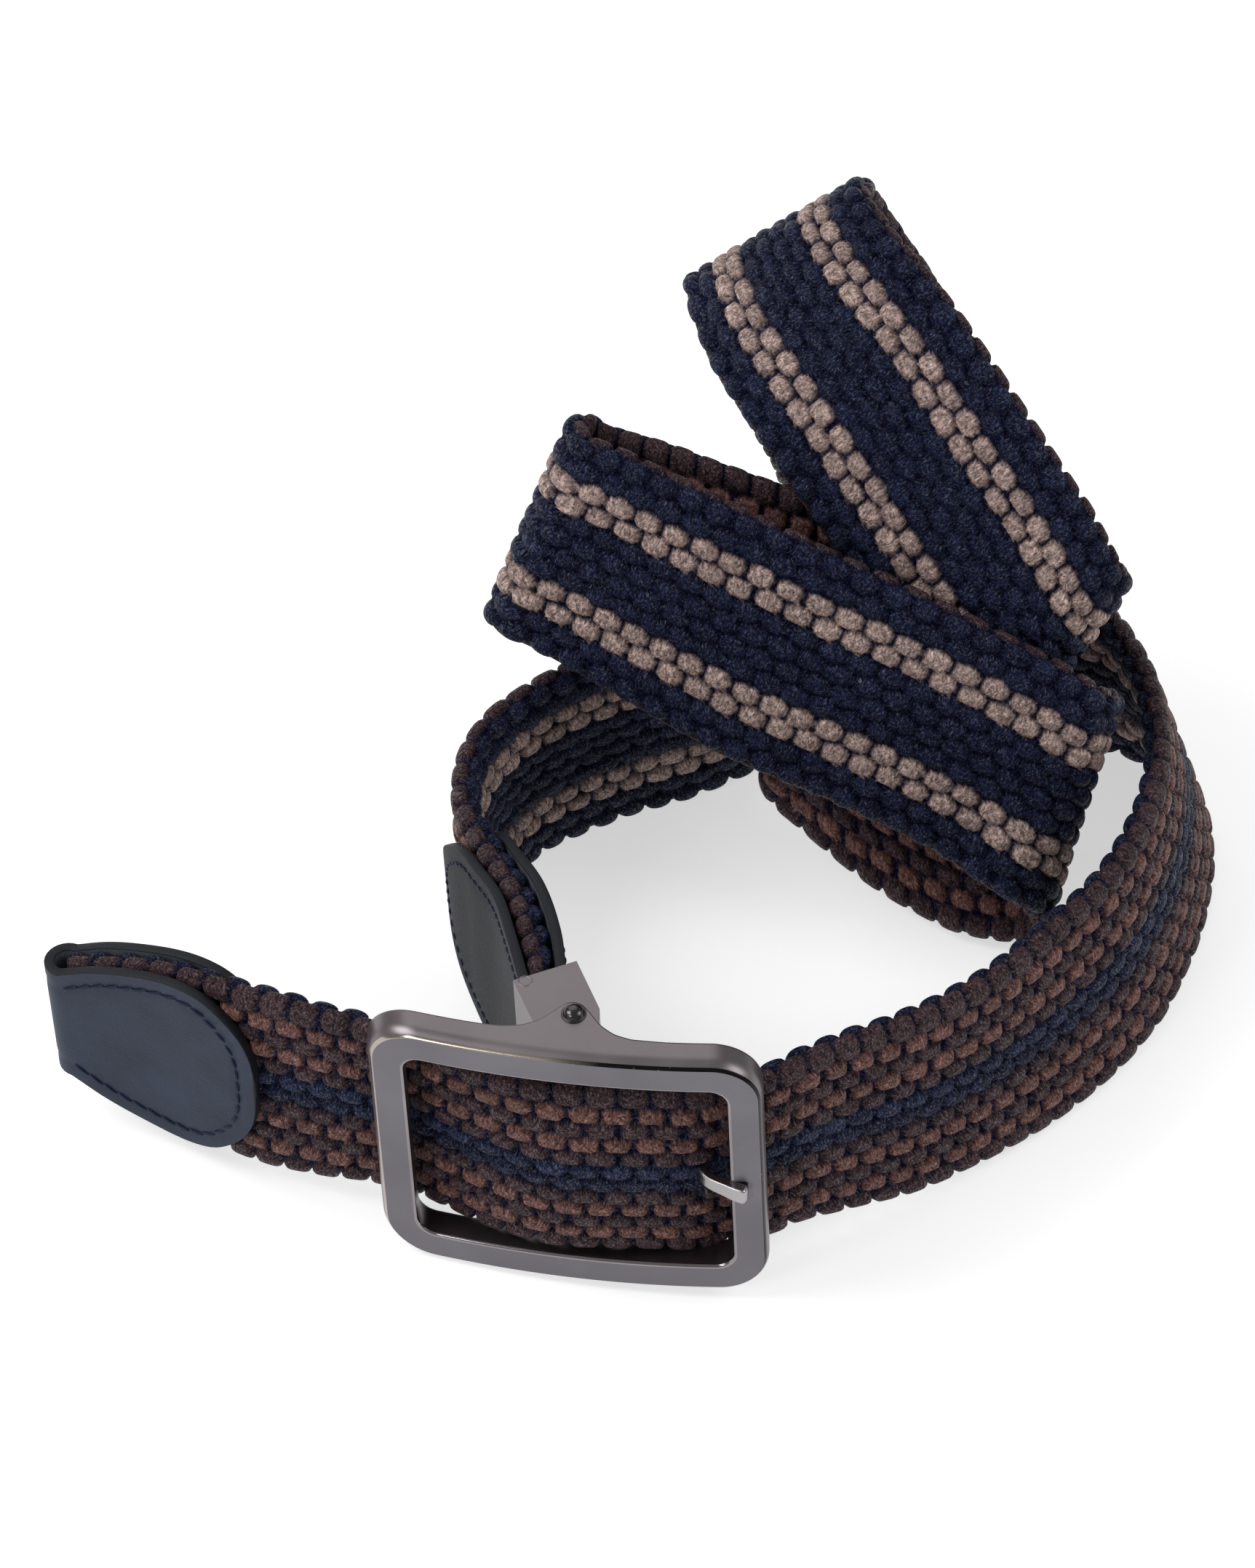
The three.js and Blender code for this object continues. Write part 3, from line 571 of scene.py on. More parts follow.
def metal_material(name, tone, rough, brushed=0.4, ridge=False):
    """Satin gunmetal plating with faint brushing, haze and a few rubbed spots; for the ridge, a painted
    highlight and a painted dark reflection as well.
    """
    m = Nodes(name)
    where = m.where()
    brush = m.noise(m.mapping(where, (60, 900, 900)), 6, 2.0, 0.5)
    haze = m.noise(where, 70, 3.0, 0.55)
    specks = m.noise(where, 6000, 2.0, 0.6)
    rubbed = m.ramp(m.noise(where, 900, 3.0, 0.7), (0.66, 0.74, 0, 1))
    dark = tuple(c * 0.84 for c in tone[:3]) + (1.0,)
    light = tuple(min(c * 1.22, 1.0) for c in tone[:3]) + (1.0,)
    base = m.mix(m.ramp(haze, (0.35, 0.65, 0, 1)), dark, tone)
    if ridge:
        # the ridge carries a painted highlight, bright cream on the left, and a painted dark reflection,
        # nearly black towards the right
        parts = m.node("ShaderNodeSeparateXYZ")
        m.put(parts.inputs[0], where)
        x = m.math("ADD", parts.outputs[0], m.math("MULTIPLY", haze, 0.004))
        base = m.mix(m.ramp(x, (-0.012, -0.004, 0, 1)), base, linear(40, 38, 38))
    m.set(Base_Color=m.mix(m.math("MULTIPLY", rubbed, 0.5), base, light), Metallic=1.0)
    spread = m.ramp(haze, (0.3, 0.7, rough - 0.03, rough + 0.04))
    m.set(Roughness=m.math("ADD", spread, m.math("MULTIPLY", brush, 0.05)))
    fine = m.math("ADD", m.math("MULTIPLY", specks, 0.5), m.math("MULTIPLY", brush, 0.5))
    m.set(Normal=m.bump(fine, 0.00002, brushed))
    return m.mat


yarn = yarn_material()
tip_leather = leather_material("slate_leather", linear(33, 40, 55), linear(41, 51, 69), 0.2)
# the clip tab is the same slate leather as the tip tab, painted darker and less shiny as painted shade
clip_leather_painted_shade = leather_material("slate_leather_painted_shade", linear(17, 19, 26), linear(24, 26, 34), 0.06)
leather_edge = fibre_material("leather_edge", linear(10, 11, 15), linear(28, 31, 38), 0.6)
leather_back = fibre_material("leather_back", linear(52, 55, 62), linear(96, 100, 108), 0.8)
thread = thread_material()
satin = metal_material("gunmetal_satin", linear(112, 109, 115), 0.34)
smooth_metal = metal_material("gunmetal_smooth", linear(124, 117, 120), 0.33, 0.2)
# the tongue is painted much lighter than the frame's gunmetal, as painted light on its front
tongue_painted_light_metal = metal_material("gunmetal_tongue_painted_light", linear(168, 164, 166), 0.24, 0.2)
polished = metal_material("gunmetal_polished", linear(142, 136, 138), 0.13, 0.08)
# light tone for the painted highlight along the ridge, which the code darkens towards the right as a
# painted reflection
ridge_painted_light_metal = metal_material("gunmetal_ridge_painted_light", linear(170, 160, 150), 0.16, 0.08, ridge=True)
dark_metal = metal_material("dark_rivet", linear(78, 74, 76), 0.16, 0.08)


# Braid. Its columns of nubs are numbered all round: the navy face first, then the brown one.
PER_NUB = 10
ACROSS = 8
EDGE_ACROSS = 10
NUBS = int(LENGTH // PITCH)
FACE_COLUMNS = len(NAVY_FACE)
COLUMNS = 2 * FACE_COLUMNS
KINDS = NAVY_FACE + BROWN_FACE[::-1]
EDGE_COLUMNS = (0, FACE_COLUMNS - 1, FACE_COLUMNS, COLUMNS - 1)


def half_section(past):
    """One face from edge to edge, which ends at an angle past the middle of the edge.

    Gives x, y, normal x, normal y, column coordinate and distance across, and the last distance.
    """
    last = FACE_COLUMNS - 1
    middle = FACE_COLUMNS / 2
    inner = (middle - 1) * COLUMN
    flat = REACH - THICK - inner
    edge = flat + (math.pi / 2 + past) * THICK
    side = np.arange(EDGE_ACROSS) / EDGE_ACROSS
    c = np.concatenate([side, 1 + np.arange((last - 1) * ACROSS) / ACROSS, last + side])
    out = []
    for v in c:
        if 1 <= v <= last:
            q = (v - middle) * COLUMN
            out.append((q, THICK, 0, 1, v, q))
            continue
        sign = 1 if v > middle else -1
        run = (v - last if v > middle else 1 - v) * edge
        a = max(run - flat, 0) / THICK
        x = sign * (inner + min(run, flat) + THICK * math.sin(a))
        out.append((x, THICK * math.cos(a), sign * math.sin(a), math.cos(a), v, sign * (inner + run)))
    return np.array(out).T, inner + edge


def whole_section():
    """Both faces all round: x, y, normal x, normal y, column coordinate, distance, and the girth."""
    (x, y, nx, ny, c, d), navy_reach = half_section(-BROWN_WRAP)
    (x2, y2, nx2, ny2, c2, d2), brown_reach = half_section(BROWN_WRAP)
    # the brown face follows on, run backwards
    navy = (x, y, nx, ny, c, d)
    brown = (-x2, -y2, -nx2, -ny2, c2 + FACE_COLUMNS, d2 + navy_reach + brown_reach)
    return [np.concatenate(pair) for pair in zip(navy, brown)] + [2 * (navy_reach + brown_reach)]


def nub_heights(pos, column, local):
    """Height 0 to 1, colour and chance of the nub that lies on top at each point of the grid."""
    wobble = rng.uniform(-1, 1, (4, COLUMNS, NUBS + 3))
    shape = (len(pos), len(column))
    best = np.full(shape, -1.0)
    tint = np.zeros(shape + (3,))
    chance = np.zeros(shape)
    for step in (-1, 0, 1):
        k = (column + step) % COLUMNS
        on_edge = np.isin(k, EDGE_COLUMNS)[None, :]
        # every other column is shifted by half a nub
        where = pos[:, None] + 0.5 * (k[None, :] % 2) + PHASE
        i = np.clip(np.floor(where).astype(int), 0, NUBS + 2)
        w = wobble[:, np.broadcast_to(k[None, :], i.shape), i]
        across, reach, square_a, square_b = np.array([NUB[KINDS[q]] for q in k]).T[:, None, :]
        across = np.where(on_edge, EDGE_ACROSS_SIZE, across) * (1 + SIZE_WOBBLE * w[0])
        reach = np.where(on_edge, EDGE_ALONG_SIZE, reach * (1 + SIZE_WOBBLE * w[1]))
        a = (local[None, :] - 2 * step) + ACROSS_WOBBLE * w[2]
        b = (where - i) * 2 - 1 + ALONG_WOBBLE * w[3]
        out = np.abs(a / across) ** square_a + np.abs(b / reach) ** square_b
        h = np.clip(1 - out, 0, 1) ** DOME * (1 + HEIGHT_WOBBLE * w[2])
        take = h > best
        best = np.where(take, h, best)
        tint = np.where(take[..., None], np.array([YARN[KINDS[q]][:3] for q in k])[None, :, :], tint)
        chance = np.where(take, (w[0] + 1) / 2, chance)
    return np.clip(best, 0, 1.1), tint, chance


def colour_mesh(mesh, tint, chance, lift):
    """Colour and yarn values of a stretch of the braid, at its points; lift, the nub's height, lets the
    yarn material paint shade into the gaps.
    """
    rgba = np.concatenate([tint, np.ones((len(tint), 1))], 1)
    layer = mesh.attributes.new("yarn", "FLOAT_COLOR", "POINT")
    layer.data.foreach_set("color", rgba.astype(np.float32).ravel())
    for key, values in (("chance", chance), ("lift", lift)):
        layer = mesh.attributes.new(key, "FLOAT", "POINT")
        layer.data.foreach_set("value", values.astype(np.float32).ravel())


def unroll_mesh(mesh, d, girth, s):
    """UVs of a stretch of the braid: distance round the strap and along it."""
    corner = np.empty(len(mesh.loops), np.int32)
    mesh.loops.foreach_get("vertex_index", corner)
    line, spot = corner // len(d), corner % len(d)
    # the last quads of a row end at the full girth
    quad = spot.reshape(-1, 4)
    wraps = (quad.max(1) - quad.min(1) > 1)[:, None] & (quad == 0)
    uv = np.stack([d[spot] + np.where(wraps.ravel(), girth, 0), s[line]], 1) / UV_SIZE
    mesh.uv_layers.new(name="strap").data.foreach_set("uv", uv.astype(np.float32).ravel())


def braid():
    x, y, nx, ny, c, d, girth = whole_section()
    m = len(c)
    s = np.linspace(0, LENGTH, NUBS * PER_NUB + 1)
    t = rows_at(s)
    at, _, wide, face, half, thick = strap_frames(t)
    column = np.floor(c).astype(int) % COLUMNS
    h, tint, chance = nub_heights(s * NUBS / LENGTH, column, (c - np.floor(c)) * 2 - 1)
    cover = np.clip(h / COVER, 0, 1)[..., None]
    tint = tint * cover + np.array(BINDING[:3]) * (1 - cover)
    depth = DEEP * (1 - h)
    u = (x[None, :] - nx[None, :] * depth) * (half / STRAP_HALF)[:, None]
    v = (y[None, :] - ny[None, :] * depth) * (thick / STRAP_THICK)[:, None]
    # the two ends are drawn in, so that they close
    end = np.clip(np.minimum(s - STRAP_START, LENGTH - s) / END_DRAW, 0, 1)
    v = v * np.sqrt(np.clip(1 - (1 - end) ** 2, 0.02, 1))[:, None]
    # over the tongue the middle of the strap stands forward
    bulge = BULGE * np.exp(-(((t - BULGE_ROW) / BULGE_FADE) ** 4))[:, None] * (1 - (u / STRAP_HALF) ** 2)
    at = at[:, None, :] - np.array([0, 1, 0]) * bulge[..., None]
    points = metres(at + wide[:, None, :] * u[..., None] + face[:, None, :] * v[..., None])
    around = np.roll(points, -1, 1) - np.roll(points, 1, 1)
    normal = unit(np.cross(np.gradient(points, axis=0), around) + 1e-15)
    out = wide[:, None, :] * nx[None, :, None] + face[:, None, :] * ny[None, :, None]
    inward = (normal * out).sum() < 0
    if inward:
        normal = -normal
    cuts = [round(q * NUBS / BRAID_PIECES) * PER_NUB for q in range(BRAID_PIECES + 1)]
    for q, (first, last) in enumerate(zip(cuts, cuts[1:])):
        part = slice(first, last + 1)
        faces = grid_faces(last - first + 1, m, around=True)
        if not inward:
            faces = faces[:, ::-1]
        obj = make_object(f"braid_{q + 1}", points[part].reshape(-1, 3), faces, [yarn], "strap")
        # the nub heights go in as lift, from which the yarn material paints shade into the gaps
        colour_mesh(obj.data, tint[part].reshape(-1, 3), chance[part], h[part])
        unroll_mesh(obj.data, d, girth, s[part])
        obj.data.normals_split_custom_set_from_vertices(normal[part].reshape(-1, 3).tolist())
        if q == 0:
            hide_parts("strap")


braid()


# Leather tabs.
LEATHER_ACROSS = 29  # points across one side of the leather
LEATHER_ROUND = 7  # points round one edge
FACE_SIDE, CUT_SIDE, BACK_SIDE = range(3)


def table_curve(table, at):
    """Half width at distances back, smooth between the rows."""
    t = np.array(table, float)
    grown = np.column_stack([t[:, 0], t[:, 1], np.zeros(len(t))])
    n = len(t) - 1
    path = along_rows(grown, np.linspace(0, n, 40 * n + 1))
    return np.interp(at, path[:, 0], path[:, 1])


def leather_ring(half):
    """Section of the leather, all round: across and out, and the side that each point belongs to."""
    r = min(LEATHER_EDGE_R, half * 0.6)
    h = LEATHER / 2
    inner = half - r
    across = inner * np.sin(np.linspace(-1, 1, LEATHER_ACROSS) * math.pi / 2)
    turn = np.linspace(math.pi / 2, -math.pi / 2, LEATHER_ROUND + 2)[1:-1]
    right = [(inner + r * math.cos(a), (h - r) * np.sign(math.sin(a)) + r * math.sin(a)) for a in turn]
    top = [(q, h) for q in across]
    bottom = [(-q, -h) for q in across]
    left = [(-q, -v) for q, v in right]
    sides = [FACE_SIDE] * LEATHER_ACROSS + [CUT_SIDE] * LEATHER_ROUND
    sides += [BACK_SIDE] * LEATHER_ACROSS + [CUT_SIDE] * LEATHER_ROUND
    return np.array(top + right + bottom + left), np.array(sides)


def tab_places(table, from_tip):
    """Stations along the folded leather, from the end of one layer round the fold to the other's.

    Gives the place, the direction out of the leather, the width direction, the half width and the
    distance back from the strap's end.
    """
    gap = TIP_GAP if from_tip else CLIP_GAP
    out = 1 if from_tip else -1
    end = LENGTH if from_tip else 0
    back = table[-1][0]
    left = TAB_END * np.cos(np.linspace(0, math.pi / 2, 22)) ** 1.4
    fine = np.concatenate([np.arange(0, back - TAB_END, 0.7), back - left])
    at, along, wide, face, _, thick = strap_frames(rows_at(end - out * fine))
    half = table_curve(table, fine)
    lift = (thick / 2 + gap + LAYER_LIFT)[:, None]
    if not from_tip:
        # by the clip the lower side is narrower, and the two layers close beyond the strap's end
        taper = CLIP_TAPER * np.clip(1 - fine / CLIP_TAPER_LONG, 0, 1) ** 1.5
        at, half = at + wide * taper[:, None] / 2, half - taper / 2
        lift = np.minimum(lift, (CLIP_PINCH[0] + CLIP_PINCH[1] * fine)[:, None])
    first, second = ((at + sign * face * lift, sign * face, wide, half, fine) for sign in (1, -1))
    turn = np.linspace(0, math.pi, 15)[1:-1]
    n = len(turn)
    mid = lift[0, 0]
    ways = np.sin(turn)[:, None] * out * along[0] + np.cos(turn)[:, None] * face[0]
    fold = (at[0] + mid * ways, ways, np.repeat(wide[:1], n, 0), np.full(n, half[0]), -mid * np.sin(turn))
    return [np.concatenate([a[::-1], f, b]) for a, f, b in zip(first, fold, second)]


def tab(name, table, from_tip):
    at, out, wide, half, back = tab_places(table, from_tip)
    far = table[-1][0]
    rings = []
    for p, o, w, h, b in zip(at, out, wide, half, back):
        ring, sides = leather_ring(h)
        # the seam pulls the leather in a little, and the edge beyond it stands up
        inside = np.minimum(h - np.abs(ring[:, 0]), far - b)
        groove = SEAM_SINK * np.exp(-(((inside - STITCH_IN) / SEAM_SINK_WIDE) ** 2))
        sunk = np.where(ring[:, 1] > 0, groove, 0)
        rings.append(p + w * ring[:, :1] + o * (ring[:, 1] - sunk)[:, None])
    points, faces = tube(rings)
    m = len(sides)
    kind = np.where(sides == np.roll(sides, -1), sides, CUT_SIDE)
    index = np.tile(kind, len(faces) // m)
    # both ends of the strip are cut as well
    index[: 2 * m] = CUT_SIDE
    index[-2 * m :] = CUT_SIDE
    materials = [tip_leather if from_tip else clip_leather_painted_shade, leather_edge, leather_back]
    obj = make_object(name + "_leather", metres(points), faces, materials, name, index=index)
    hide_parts(name)
    seam(name, (at, out, wide), half, back, far)


def seam_line(b, h, start, far):
    """Line of the seam on one layer, distance back and across, from the fold round to the fold."""
    rim = np.concatenate([np.stack([b, h], 1), [(far, h[-1] / 2), (far, 0)]])
    ahead = unit(np.gradient(rim, axis=0))
    inset = rim + STITCH_IN * np.stack([ahead[:, 1], -ahead[:, 0]], 1)
    away = np.linalg.norm(inset[:, None] - rim[None], axis=2).min(1)
    line = [(v, w) for (v, w), q in zip(inset, away) if w > 0 and v > start and q > STITCH_IN - 0.1]
    return np.array([(v, -w) for v, w in line] + line[::-1])


def seam(name, directions, half, back, far):
    """Stitches along a line inside the leather's edge, on both layers."""
    long, step, slant, start, radius = STITCH[name]
    bends = len(STITCH_ARCH)
    ways = np.linspace(0, 2 * math.pi, 9)[:-1, None]
    top = int(np.argmax(back[: len(back) // 2] == back[: len(back) // 2].min()))
    points, faces, made = [], [], 0
    for part in (slice(0, top + 1), slice(len(back) - top - 1, len(back))):
        order = np.argsort(back[part])
        b, h = back[part][order], half[part][order]
        outline = seam_line(b, h, start, far)
        run = np.concatenate([[0], np.cumsum(np.linalg.norm(np.diff(outline, axis=0), axis=1))])
        count = int(run[-1] // step)
        for k in range(count):
            s0 = run[-1] * (k + 0.5) / count - long / 2
            q = np.linspace(s0, s0 + long, bends)
            v, w = np.interp(q, run, outline[:, 0]), np.interp(q, run, outline[:, 1])
            w = w + np.linspace(slant, -slant, bends)
            p, o, wd = (
                np.stack([np.interp(v, b, a[part][order][:, j]) for j in range(3)], 1) for a in directions
            )
            centre = p + wd * w[:, None] + o * (LEATHER / 2 + STITCH_ARCH)[:, None]
            ahead = unit(np.gradient(centre, axis=0))
            side = unit(np.cross(ahead, o))
            up = np.cross(side, ahead)
            rings = [
                c + r * (np.cos(ways) * a + STITCH_FLAT * np.sin(ways) * u)
                for c, r, a, u in zip(centre, radius * STITCH_GIRTH, side, up)
            ]
            ps, fs = tube(rings)
            points.append(ps)
            faces.append(fs + made)
            made += len(ps)
    make_object(name + "_stitches", metres(np.concatenate(points)), np.concatenate(faces), [thread], name)


tab("tip_tab", TIP_TAB, True)
tab("clip_tab", CLIP_TAB, False)


# Tongue's rows on one smooth curve, which the frame's seat follows too.
tongue_rows = along_rows(np.array(TONGUE, float), np.linspace(0, len(TONGUE) - 1, 71))


# Buckle frame.
def front_y(x):
    """Line of the frame's front, which slopes and bows along x."""
    return FRAME_Y + FRAME_SLOPE * x + FRAME_BOW * (x / (FRAME_LONG / 2)) ** 2


def lug_back(x):
    """Depth of the top and bottom bars behind the front line, rounded where the table turns."""
    t = np.array(LUG_BACK, float)
    around = np.linspace(-2 * LUG_ROUND, 2 * LUG_ROUND, 13)
    weight = np.exp(-((around / LUG_ROUND) ** 2))
    return sum(w * np.interp(x + a, t[:, 0], t[:, 1]) for a, w in zip(around, weight)) / weight.sum()


def corner(long, tall, r, sx, sz, a):
    """Point at angle a on the rounded corner of a rectangle."""
    return (sx * (long / 2 - r) + r * math.cos(a), sz * (tall / 2 - r) + r * math.sin(a))


def both_corners(sx, sz, a):
    outer = corner(FRAME_LONG, FRAME_TALL, CORNER_OUT, sx, sz, a)
    return outer + corner(OPEN_LONG, OPEN_TALL, CORNER_IN, sx, sz, a)


def loop_points():
    """Points all round the frame: outer x and z, inner x and z, from its middle."""
    # shares along a side: close together on the bars with lugs and round the tongue's seat
    seat = [np.linspace(0, 0.36, 9)[1:], np.linspace(0.37, 0.55, 64), np.linspace(0.56, 1, 11)[:-1]]
    sides = {
        "bar": np.linspace(0, 1, 122)[1:-1],
        "seat": np.concatenate(seat),
        "plain": np.linspace(0, 1, 20)[1:-1],
    }
    corners = [(1, 1, 0, "bar"), (-1, 1, 90, "plain"), (-1, -1, 180, "bar"), (1, -1, 270, "seat")]
    out = []
    for k, (sx, sz, start, side) in enumerate(corners):
        for a in np.radians(start + np.linspace(0, 90, 17)):
            out.append(both_corners(sx, sz, a))
        nx, nz = corners[(k + 1) % 4][:2]
        last = np.array(out[-1])
        following = np.array(both_corners(nx, nz, math.radians(start + 90)))
        for u in sides[side]:
            out.append(tuple(last + (following - last) * u))
    return np.array(out)


def bar_section(b):
    """Section of a bar of depth b, and the number of the material of each of its points.

    A point is its share of the way across the bar, from the inside, and its depth.
    """
    satin_part, polished_part, smooth_part, ridge_part = range(4)
    d = FRAME_DEEP
    lug = 1 - LUG_THICK / ((FRAME_TALL - OPEN_TALL) / 2)
    c = min(LUG_BEVEL, b - d)
    inner_edge = [(0, 0.5), (0.004, 0.36), (0.02, 0.2), (0.045, 0.08), (0.075, 0.015)]
    front = [(0.1, 0), (0.115, 0)] + [(s, 0) for s in np.linspace(0.17, 0.77, 13)]
    front += [(0.815, 0), (0.835, 0), (0.85, 0)]
    s0, c0 = math.sin(math.radians(RIDGE_START)), math.cos(math.radians(RIDGE_START))
    outer_edge = [
        (1 - RIDGE_IN + RIDGE_IN * (math.sin(a) - s0) / (1 - s0), RIDGE_DEEP * (c0 - math.cos(a)) / c0)
        for a in np.radians(np.linspace(RIDGE_START, 90, 14))
    ]
    side = [(1, 2.4), (1, 3), (1, d - 0.9), (1, b - 0.6), (1, b - 0.5)]
    side += [(0.99, b - 0.25), (0.965, b - 0.07), (0.93, b), (0.91, b)]
    under = [(0.6, b), (lug + 0.06, b), (lug + 0.02, b - 0.3 * c), (lug, b - c), (lug, d)]
    rear = [(lug - 0.02, d), (0.12, d), (0.09, d), (0.05, d - 0.07), (0.01, d - 0.25)]
    rear += [(0, d - 0.5), (0, d - 0.6), (0, d - 1.5), (0, 1.5), (0, 0.62)]
    groups = [
        (inner_edge, polished_part),
        (front, satin_part),
        # the first bands of the outer edge take the painted highlight and painted reflection of the ridge
        # material
        (outer_edge[:4], ridge_part),
        (outer_edge[4:] + side + under + rear, smooth_part),
    ]
    return np.array([p for g, _ in groups for p in g]), [k for g, k in groups for _ in g]


def buckle_frame():
    rings = []
    for ox, oz, ix, iz in loop_points():
        in_bar = abs(oz) > FRAME_TALL / 2 - CORNER_OUT and abs((ox + ix) / 2) < LUG_HALF
        section, kinds = bar_section(max(float(lug_back(ox)), FRAME_DEEP) if in_bar else FRAME_DEEP)
        x = ix + (ox - ix) * section[:, 0]
        z = MID_Z + iz + (oz - iz) * section[:, 0]
        rings.append(np.stack([x, front_y(x) + section[:, 1], z], 1))
    p = rolled(np.array(rings))
    # seat of the tongue, cut into the front of the right bar
    rear = tongue_rows[:, 1] + tongue_rows[:, 4] / 2 * SEAT_ROOM
    level = np.abs(p[..., 2] - np.interp(p[..., 0], tongue_rows[:, 0], tongue_rows[:, 2]))
    start, width, height = SEAT_RIM
    rim = height * np.clip((level - start) / width, 0, 1) ** 2
    seat_y = np.interp(p[..., 0], tongue_rows[:, 0], rear) + SEAT_CLEAR - rim
    seat = (level < SEAT_HALF) & (p[..., 0] > SEAT_X[0]) & (p[..., 0] < SEAT_X[1])
    p[..., 1] = np.where(seat & (p[..., 1] < seat_y), seat_y, p[..., 1])
    n, m = p.shape[:2]
    points = p.reshape(-1, 3)
    faces = outward(points, grid_faces(n, m, around=True, closed=True))
    materials = [satin, polished, smooth_metal, ridge_painted_light_metal]
    index = np.tile(np.array(kinds), n)
    obj = make_object("frame_metal", metres(points), faces, materials, "buckle_frame", index=index)
    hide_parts("buckle_frame")


def rounded_section(tall, deep, r):
    """Rounded rectangle with a point beside each end of its corners, which keeps the flats flat."""
    beside = 0.06
    ring = []
    for sx, sy, start in ((1, 1, 0), (-1, 1, 90), (-1, -1, 180), (1, -1, 270)):
        turn = np.radians(start + np.linspace(0, 90, 6))
        arc = [(sx * (tall - r) + r * math.cos(t), sy * (deep - r) + r * math.sin(t)) for t in turn]
        upright, level = (0, -sy), (-sx, 0)
        before, after = (upright, level) if start in (0, 180) else (level, upright)
        ring.append((arc[0][0] + beside * before[0], arc[0][1] + beside * before[1]))
        ring += arc
        ring.append((arc[-1][0] + beside * after[0], arc[-1][1] + beside * after[1]))
    return np.array(ring)


def tongue():
    path = tongue_rows[:, :3]
    s = np.concatenate([[0], np.cumsum(np.linalg.norm(np.diff(path, axis=0), axis=1))])
    tip_rings = s[-1] - TONGUE_END * np.cos(np.linspace(0, math.pi / 2, 14))
    fine = np.concatenate([np.arange(0, s[-1] - TONGUE_END, 0.35), tip_rings])
    rows = np.stack([np.interp(fine, s, tongue_rows[:, k]) for k in range(5)], 1)
    ahead = unit(np.gradient(rows[:, :3], axis=0))
    ahead[-1] = ahead[-2]
    up = unit(np.array([0, 0, 1]) - ahead * ahead[:, 2:])
    side = np.cross(ahead, up)
    rings = []
    for row, u, w, left in zip(rows, up, side, s[-1] - fine):
        # the end is rounded in height over 0.8 mm and in thickness over 0.5 mm
        tip = 0.55 + 0.45 * math.sqrt(max(1 - max(1 - left / 0.8, 0) ** 2, 0))
        flat = math.sqrt(max(1 - max(1 - left / 0.5, 0) ** 2, 0))
        tall, deep = row[3] / 2 * tip, row[4] / 2 * max(flat, 0.3)
        ring = rounded_section(tall, deep, min(TONGUE_EDGE_R, tall * 0.5, deep * 0.5))
        rings.append(row[:3] + ring[:, :1] * u + ring[:, 1:] * w)
    points, faces = tube(rings)
    obj = make_object("tongue_painted_light_metal", metres(points), faces, [tongue_painted_light_metal], "tongue")
    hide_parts("tongue")
    turned_ring("tongue_eye", [disc_ring(r, z) for r, z in TONGUE_EYE], satin, "tongue")


def pivot():
    top = FRAME_TALL / 2
    shape = [(-top + z, r) for z, r in RIVET_FOOT] + [(top + z, r) for z, r in RIVET_HEAD]
    points, faces = tube([rolled(disc_ring(r, z)) for z, r in shape])
    obj = make_object("pivot_metal", metres(points), faces, [dark_metal], "pivot_pin")
    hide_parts("pivot_pin")


def clip():
    """A copy of the clip's solid with rounded edges, and the end of its own small pin on top."""
    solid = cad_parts["swivel_clip"]
    obj = bpy.data.objects.new("clip_metal", solid.data.copy())
    bpy.context.scene.collection.objects.link(obj)
    mesh = bmesh.new()
    mesh.from_mesh(obj.data)
    bmesh.ops.remove_doubles(mesh, verts=mesh.verts, dist=1e-6)
    bmesh.ops.dissolve_limit(mesh, angle_limit=math.radians(1), verts=mesh.verts, edges=mesh.edges)
    mesh.to_mesh(obj.data)
    mesh.free()
    soft = obj.modifiers.new("soft", "BEVEL")
    soft.width = CLIP_BEVEL * MM
    soft.segments = 3
    soft.limit_method = "ANGLE"
    soft.angle_limit = math.radians(30)
    graph = bpy.context.evaluated_depsgraph_get()
    data = bpy.data.meshes.new_from_object(obj.evaluated_get(graph))
    obj.modifiers.clear()
    obj.data = data
    data.materials.clear()
    data.materials.append(smooth_metal)
    area = np.empty(len(data.polygons))
    data.polygons.foreach_get("area", area)
    data.polygons.foreach_set("use_smooth", area < CLIP_SMALL_FACE * MM * MM)
    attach(obj, "root")
    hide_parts("swivel_clip")
    rings = [disc_ring(r, CLIP_TOP + z, *CLIP_MARK) for r, z in CLIP_MARK_RING]
    turned_ring("clip_mark", rings, smooth_metal, "swivel_clip")


buckle_frame()
tongue()
pivot()
clip()


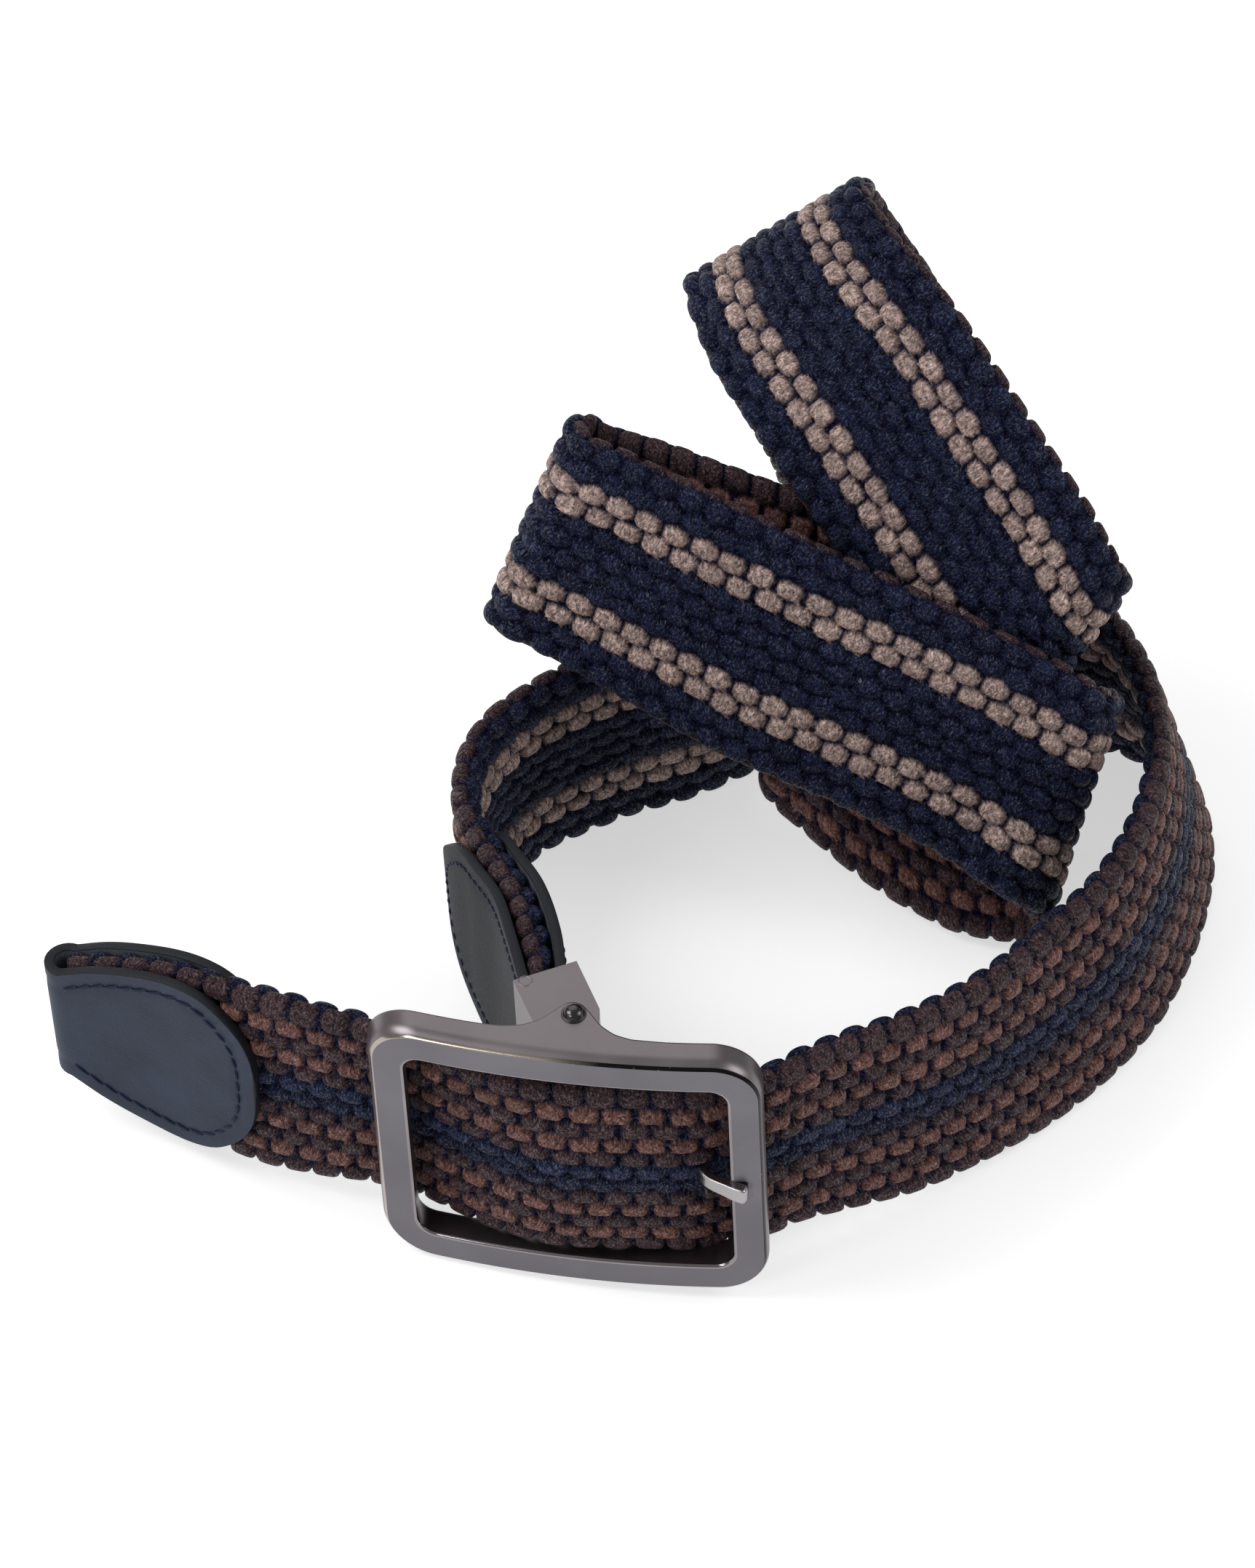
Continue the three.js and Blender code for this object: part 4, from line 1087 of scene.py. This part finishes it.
# Floor, light, camera: metres from here on.
FLOOR_HALF = 6
floor_nodes = Nodes("floor")
floor_nodes.set(Base_Color=(0.6, 0.6, 0.603, 1), Roughness=0.9, Specular_IOR_Level=0.1)
floor_nodes.set(Emission_Color=(1, 1, 1, 1), Emission_Strength=0.58)
floor_points = [(sx * FLOOR_HALF, sy * FLOOR_HALF, 0) for sx, sy in ((-1, -1), (1, -1), (1, 1), (-1, 1))]
floor = make_object("floor", floor_points, [(0, 1, 2, 3)], [floor_nodes.mat], smooth=False)

world = bpy.data.worlds.new("studio")
bpy.context.scene.world = world
world.use_nodes = True
background = world.node_tree.nodes["Background"]
background.inputs["Color"].default_value = (1, 1, 1, 1)
background.inputs["Strength"].default_value = 0.34

LAMP_TARGET = Vector((0, 0, 0.03))
LAMPS = [
    # name, place, size, watts
    ("key", (-0.85, 0.05, 1.0), 0.7, 9),
    ("left", (-0.74, -0.75, 0.68), 0.42, 3.6),
    ("right", (0.95, -0.1, 0.8), 0.7, 5),
    ("back", (-0.2, 0.85, 0.85), 0.8, 2.2),
]
for name, place, size, watts in LAMPS:
    light = bpy.data.lights.new(name, "AREA")
    light.energy, light.size = watts, size
    lamp = bpy.data.objects.new(name, light)
    lamp.location = place
    lamp.rotation_euler = (LAMP_TARGET - Vector(place)).to_track_quat("-Z", "Y").to_euler()
    bpy.context.scene.collection.objects.link(lamp)

CAMERA_PLACE = (7.908, -632.968, 777.075)  # millimetres, in the belt's own axes
ELEVATION = math.radians(47)
FOCAL_PX = 9800
TALL_PX = 2156
camera_data = bpy.data.cameras.new("camera")
camera_data.sensor_width = 36
camera_data.lens = FOCAL_PX / TALL_PX * camera_data.sensor_width
camera_data.clip_start = 0.05
camera = bpy.data.objects.new("camera", camera_data)
camera.location = metres(CAMERA_PLACE)
camera.rotation_euler = (math.pi / 2 - ELEVATION, 0, 0)
bpy.context.scene.collection.objects.link(camera)
bpy.context.scene.camera = camera
bpy.context.scene.view_settings.view_transform = "Standard"
